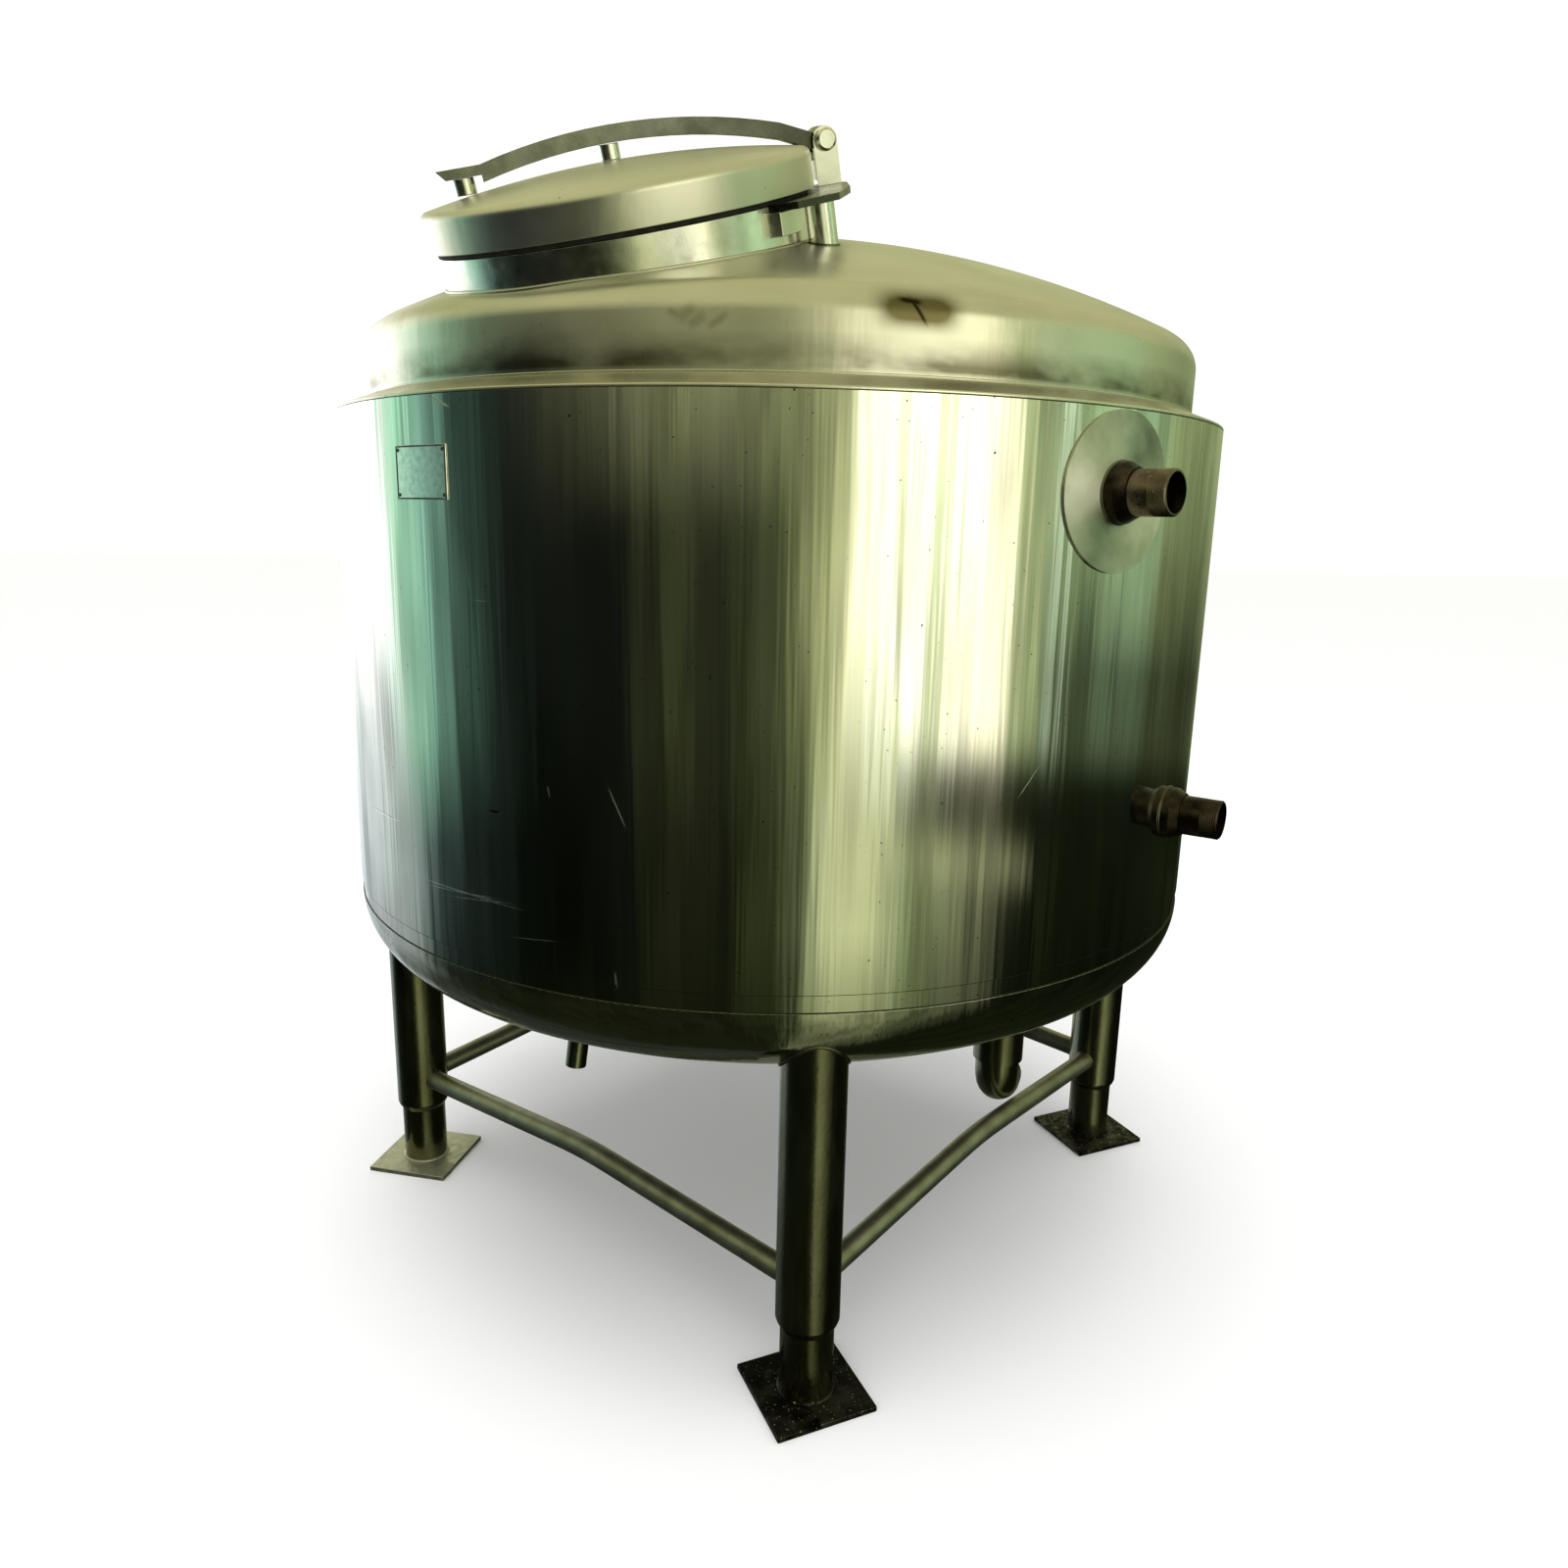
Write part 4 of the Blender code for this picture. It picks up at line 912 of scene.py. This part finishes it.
outlet_axis = place_at(*OUTLET_PLACE)
outlet_place = Matrix.Translation(outlet_axis)
outlet_top = dish_height(OUTLET_PLACE[1]) + SKIN_HOLD
inner = OUTLET_RADIUS - OUTLET_WALL
outlet = turned("outlet_tube", [
    (OUTLET_RADIUS, outlet_top), (OUTLET_RADIUS, OUTLET_END_Z), (ELBOW_BORE, OUTLET_END_Z),
    (ELBOW_BORE, OUTLET_LIP_Z), (inner, OUTLET_LIP_Z), (inner, outlet_top),
    (OUTLET_RADIUS, outlet_top)], sides=80, place=outlet_place)
finished(eased(trimmed(outlet), 0.001), drawn_steel, "outlet_pipe")
outlet_foot = joint_ring(outlet_place @ UPSIDE_DOWN, OUTLET_RADIUS, in_dish,
                         low=-outlet_top - 0.05, high=-OUTLET_END_Z)
weld("outlet_weld", outlet_foot, OUTLET_BEAD)

heading = place_at(ELBOW_AZIMUTH, 1.0)
bend = [outlet_axis + (OUTLET_END_Z - SEAM_GAP) * UP]
for step in range(BEND_STEPS + 1):
    turn = math.pi / 2 * step / BEND_STEPS
    bend.append(outlet_axis + heading * ELBOW_BEND * (1 - math.cos(turn))
                + (ELBOW_AXIS_Z + ELBOW_BEND * (1 - math.sin(turn))) * UP)
elbow_mouth = bend[-1] + heading * ELBOW_END
elbow = round_bar("elbow", bend + [elbow_mouth], ELBOW_RADIUS)
cut_by(elbow, rod("drill", ELBOW_BORE, low=-0.035, high=0.01,
                  place=facing(elbow_mouth, heading)))
finished(eased(elbow, 0.001), drawn_steel, "outlet_elbow")

lean = Matrix.Rotation(-DRAIN_TILT, 4, UP.cross(place_at(DRAIN_PLACE[0], 1.0)))
drain_place = Matrix.Translation(place_at(*DRAIN_PLACE, DRAIN_END_Z)) @ lean
drain_length = dish_height(DRAIN_PLACE[1]) - DRAIN_END_Z + SKIN_HOLD
drain = sleeve("drain_tube", DRAIN_RADIUS, DRAIN_RADIUS - DRAIN_WALL, drain_length, 0.0,
               sides=48, place=drain_place)
finished(eased(trimmed(drain), 0.0006), drawn_steel, "drain_stub")
drain_foot = joint_ring(drain_place @ UPSIDE_DOWN, DRAIN_RADIUS, in_dish,
                        low=-drain_length - 0.03, high=0.0, steps=48)
weld("drain_weld", drain_foot, DRAIN_BEAD)

# Legs
# Four tube legs, welded to the dish. In each one slides a thinner foot tube, welded at the rim,
# on a square flame-cut plate that is dark with floor dirt.
LEG_CIRCLE = 0.643
LEG_RADIUS = 0.04445
LEG_WALL = 0.003
LEG_BEAD = 0.0030
SLEEVE_END_Z = 0.122
FOOT_RADIUS = 0.0375
FOOT_INSERT = 0.100
CONE_HEIGHT = 0.014
PLATE_SIDE = 0.147
PLATE_SHEET = 0.008
PLATE_BEAD = 0.0032
PLATE_TURNS = {"front": 18.0, "right": 18.0, "back": -18.0, "left": -18.0}
LEG_AZIMUTHS = {"front": 0.0, "right": 90.0, "back": 180.0, "left": 270.0}

# Hot rolled plate: grey brown scale with dark grease and mortar specks trodden into it. The left
# foot plate is painted pale, as painted light on it.
plate_steel, shader, place = new_material("hot_rolled_plate", 1.0, 0.50)
side = add_node(place, "SeparateXYZ", {"Vector": place}).outputs["X"]
# Painted light: the plates beyond X = -0.45, the left foot's, are lightened to pale grey
washed = faded(0.8, (side, -0.45, -0.60))
colour = coated("4b4a41", (patches(place, 35.0, 5.0, 0.35, 0.65), "24231d"),
                (patches(place, 45.0, 6.0, 0.42, 0.60), "0f0f0b"), (washed, "d2d2c8"),
                (patches(place, 230.0, 2.0, 0.66, 0.71), "b3b1a4"))
feed(shader, Base_Color=colour, Roughness=patches(place, 90.0, 4.0, 0.3, 0.7, 0.36, 0.65),
     Normal=relief(place, 120.0, 4.0, 0.0006))

for name, azimuth in LEG_AZIMUTHS.items():
    leg_place = Matrix.Translation(place_at(azimuth, LEG_CIRCLE))
    leg = sleeve(f"{name}_leg_tube", LEG_RADIUS, LEG_RADIUS - LEG_WALL, JACKET_SEAM_Z,
                 SLEEVE_END_Z + SEAM_GAP, sides=96, place=leg_place)
    finished(eased(trimmed(leg)), drawn_steel, f"{name}_leg")
    leg_head = joint_ring(leg_place @ UPSIDE_DOWN, LEG_RADIUS, in_dish, low=-JACKET_SEAM_Z,
                          high=-0.30, steps=140)
    weld(f"{name}_leg_weld", leg_head, LEG_BEAD)

    foot_low = PLATE_SHEET + SEAM_GAP
    inner = FOOT_RADIUS - LEG_WALL
    foot_top = SLEEVE_END_Z + FOOT_INSERT
    foot = turned(f"{name}_inner_tube", [
        (FOOT_RADIUS, foot_top), (FOOT_RADIUS, SLEEVE_END_Z), (LEG_RADIUS, SLEEVE_END_Z),
        (LEG_RADIUS - 0.0020, SLEEVE_END_Z - 0.0055),
        (FOOT_RADIUS + 0.0012, SLEEVE_END_Z - 0.0110), (FOOT_RADIUS, SLEEVE_END_Z - CONE_HEIGHT),
        (FOOT_RADIUS, foot_low), (inner, foot_low), (inner, foot_top), (FOOT_RADIUS, foot_top)],
        sides=96, place=leg_place)
    finished(foot, drawn_steel, f"{name}_foot_tube")
    weld(f"{name}_plate_weld", circle(FOOT_RADIUS, 120, foot_low, leg_place), PLATE_BEAD,
         plate_steel)

    plate_turn = Matrix.Rotation(math.radians(PLATE_TURNS[name]), 4, "Z")
    foot_plate = block(f"{name}_base_plate", PLATE_SIDE, PLATE_SIDE, PLATE_SHEET,
                       leg_place @ plate_turn @ Matrix.Translation((0.0, 0.0, PLATE_SHEET / 2)))
    finished(eased(foot_plate, 0.0012), plate_steel, f"{name}_foot_plate")

# Ties
# Four tubes that brace the legs, each bent upwards at its middle and fillet welded at both ends.
# They were never polished, so they are of an even, dusty grey.
TIE_RADIUS = 0.01685
TIE_END_Z = 0.166
TIE_MIDDLE_Z = 0.195
TIE_BEND_LENGTH = 0.060
TIE_BEAD = 0.0020
dusty_steel, shader, place = new_material("dusty_mill_tube", 1.0, 0.46)
film = patches(place, 24.0, 5.0, 0.35, 0.70)
spots = patches(place, 160.0, 2.0, 0.72, 0.79)
feed(shader, Base_Color=coated("a3a294", (film, "83826f"), (spots, "3a3828")),
     Normal=relief(place, 140.0, 4.0, 0.0003))

order = list(LEG_AZIMUTHS)
for first, second in zip(order, order[1:] + order[:1]):
    start = place_at(LEG_AZIMUTHS[first], LEG_CIRCLE, TIE_END_Z)
    end = place_at(LEG_AZIMUTHS[second], LEG_CIRCLE, TIE_END_Z)
    middle = (start + end) / 2
    middle.z = TIE_MIDDLE_Z
    before = middle + (start - middle).normalized() * TIE_BEND_LENGTH
    after = middle + (end - middle).normalized() * TIE_BEND_LENGTH
    shares = [step / BEND_STEPS for step in range(BEND_STEPS + 1)]
    bow = [before.lerp(middle, share).lerp(middle.lerp(after, share), share) for share in shares]
    hold = LEG_RADIUS - LEG_WALL / 2
    tie = round_bar(f"{first}_{second}_brace", [start + (before - start).normalized() * hold]
                    + bow + [end + (after - end).normalized() * hold], TIE_RADIUS)
    finished(tie, dusty_steel, f"{first}_{second}_tie")
    for leg_name, at, towards in ((first, start, before), (second, end, after)):
        centre = place_at(LEG_AZIMUTHS[leg_name], LEG_CIRCLE)
        foot = joint_ring(
            facing(at, towards - at), TIE_RADIUS,
            lambda point: math.hypot(point.x - centre.x, point.y - centre.y) < LEG_RADIUS,
            low=0.0, high=0.12, steps=48)
        weld(f"{first}_{second}_{leg_name}_weld", foot, TIE_BEAD)

# Studio
# A pale floor that runs out of sight, one wide soft light above, and round about a yard's worth
# of bright and dark fields, which only the polished steel sees.
FLOOR_SIDE = 60.0
floor = started("studio_floor", bpy.ops.mesh.primitive_plane_add, size=FLOOR_SIDE)
floor_paint, shader, place = new_material("white_studio_paint", 0.0, 0.9)
shader.inputs["Base Color"].default_value = linear("f8f8f7")
floor.data.materials.append(floor_paint)
floor.visible_glossy = False

soft_light = bpy.data.lights.new("softbox", "AREA")
soft_light.shape = "DISK"
soft_light.size = 5.0
soft_light.energy = 130.0
softbox = put_in("softbox", soft_light)
softbox.location = (-0.5, -0.8, 5.0)
softbox.visible_glossy = False

# Fields of the surroundings at eye level: azimuth in degrees and colour. Both rings were worked
# out from colours read off the photographed jacket, then corrected.
FIELDS = [(-180.0, "8a8c68"), (-166.0, "b4b8a8"), (-157.0, "ffffff"), (-124.0, "ffffff"),
          (-113.0, "84b299"), (-102.0, "5f8476"), (-90.0, "2c3f38"), (-79.0, "141f1a"),
          (-67.0, "050805"), (-42.0, "040603"), (-30.0, "282c1a"), (-19.0, "0e1108"),
          (-4.0, "363c24"), (8.0, "8a8c66"), (14.0, "d8d6b2"), (19.0, "ffffe8"),
          (24.0, "b8bd92"), (28.0, "ffffee"), (34.0, "f2f2d4"), (37.0, "aab78a"),
          (40.0, "ffffe4"), (47.0, "f8f4d4"), (54.0, "868f69"), (64.0, "6c7a58"),
          (67.0, "b9cdb0"), (70.0, "65764f"), (84.0, "8ba47e"), (96.0, "7b9370"),
          (106.0, "6f7a55"), (124.0, "5c6645"), (142.0, "66704f"), (180.0, "8a8c68")]
# Fields below eye level, where the yard's floor and plinths stand
LOW_FIELDS = [(-180.0, "6e7064"), (-150.0, "c8cfd0"), (-124.0, "a0a8aa"), (-112.0, "424e4f"),
              (-100.0, "1f2828"), (-86.0, "0e1513"), (-66.0, "040603"), (-42.0, "040603"),
              (-30.0, "16190d"), (-18.0, "0a0c05"), (-4.0, "2a2f1b"), (4.0, "5f674a"),
              (9.0, "979c78"), (16.0, "a3a57e"), (21.0, "8a8e6c"), (27.0, "8d9170"),
              (31.0, "5f6e4c"), (35.0, "5a6443"), (38.0, "343f28"), (41.0, "3c4530"),
              (46.0, "1e2416"), (54.0, "0c1008"), (66.0, "0a0d06"), (70.0, "1e2616"),
              (76.0, "080b05"), (100.0, "0c1008"), (122.0, "14180e"), (140.0, "22271a"),
              (160.0, "4e5244"), (180.0, "6e7064")]
CEILING = "898a66"
GROUND = "16190d"
SHADOW = "0a0d05"
world = bpy.data.worlds.new("studio")
bpy.context.scene.world = world
world.use_nodes = True
tree = world.node_tree
tree.nodes.clear()
azimuth, rise = azimuth_and_height(add_node(tree, "TexCoord", {}).outputs["Generated"])
position = add_node(tree, "MapRange", {"Value": azimuth, "From Min": -180.0, "From Max": 180.0})
rings = []
for fields in (LOW_FIELDS, FIELDS):
    ramp = add_node(tree, "ValToRGB", {"Fac": position})
    stops = ramp.color_ramp.elements
    while len(stops) < len(fields):
        stops.new(0.5)
    for stop, (turn, colour) in zip(stops, fields):
        stop.position = (turn + 180.0) / 360.0
        stop.color = linear(colour)
    rings.append(ramp)
room = coated(rings[0], (faded(1.0, (rise, -0.27, -0.17)), rings[1]))
# What breaks the two rings up: a share, a colour and the azimuths or rises where it ends. The
# yard falls dark to the right, with a darker ledge and a lit strip under it, and grows lighter
# above the dark middle.
for share, shade, *edges in (
        (0.30, "7c7d60", (azimuth, 4.0, 12.0), (azimuth, 56.0, 46.0), (rise, 0.06, -0.08)),
        (0.85, SHADOW, (azimuth, 56.0, 72.0), (azimuth, 158.0, 145.0), (rise, 0.06, -0.12)),
        (1.00, SHADOW, (azimuth, 20.0, 42.0), (azimuth, 150.0, 135.0), (rise, -0.285, -0.255),
         (rise, -0.185, -0.215)),
        (0.55, "8a8c6a", (azimuth, 18.0, 28.0), (azimuth, 66.0, 48.0), (rise, -0.315, -0.295),
         (rise, -0.262, -0.280)),
        (0.80, "6d7052", (azimuth, -70.0, -20.0), (azimuth, 16.0, -6.0), (rise, 0.00, 0.14)),
        (0.85, "868e91", (azimuth, -175.0, -150.0), (azimuth, -104.0, -120.0),
         (rise, -0.03, -0.17)),
        (0.90, GROUND, (azimuth, 0.0, -30.0), (rise, -0.36, -0.60))):
    room = coated(room, (faded(share, *edges), shade))
room = coated(room, (faded(1.0, (rise, 0.17, 0.48)), CEILING),
              (faded(0.6, (rise, -0.36, -0.75)), GROUND))
# Posts, pipes and racks in the yard draw faint upright streaks
turned_by = add_node(tree, "Math", {0: azimuth, 1: 0.22}, operation="MULTIPLY")
raised_by = add_node(tree, "Math", {0: rise, 1: 5.0}, operation="MULTIPLY")
streaks = add_node(tree, "CombineXYZ", {"X": turned_by, "Y": raised_by})
streaks = patches(streaks, 1.0, 4.0, 0.36, 0.64, 0.62, 1.38, roughness=0.6)
room = add_node(tree, "Mix", {"Factor": 1.0, "A": room, "B": streaks}, data_type="RGBA",
                blend_type="MULTIPLY")
surroundings = add_node(tree, "Background", {"Color": room, "Strength": 2.4})
plain = add_node(tree, "Background", {"Color": "ffffff", "Strength": 1.08})
glossy = add_node(tree, "LightPath", {}).outputs["Is Glossy Ray"]
seen = add_node(tree, "MixShader", {0: glossy, 1: plain, 2: surroundings})
add_node(tree, "OutputWorld", {"Surface": seen})
bpy.context.scene.view_settings.view_transform = "Standard"

# Camera
# It stands at the photograph's viewpoint, a little below the roof, and looks slightly down.
CAMERA_PLACE = (-0.1856, -1.9688, 1.1773)
CAMERA_HEADING = 0.1043
CAMERA_DIP = 0.2290
CAMERA_ROLL = 0.0200
FRAME_PIXELS = 1600
FOCAL_PIXELS = 1149.8
camera_data = bpy.data.cameras.new("camera")
camera_data.sensor_width = 36.0
camera_data.lens = camera_data.sensor_width * FOCAL_PIXELS / FRAME_PIXELS
camera = put_in("camera", camera_data)
camera.matrix_world = (Matrix.Translation(CAMERA_PLACE) @ Matrix.Rotation(-CAMERA_HEADING, 4, "Z")
                       @ Matrix.Rotation(math.pi / 2 - CAMERA_DIP, 4, "X")
                       @ Matrix.Rotation(CAMERA_ROLL, 4, "Z"))
bpy.context.scene.camera = camera
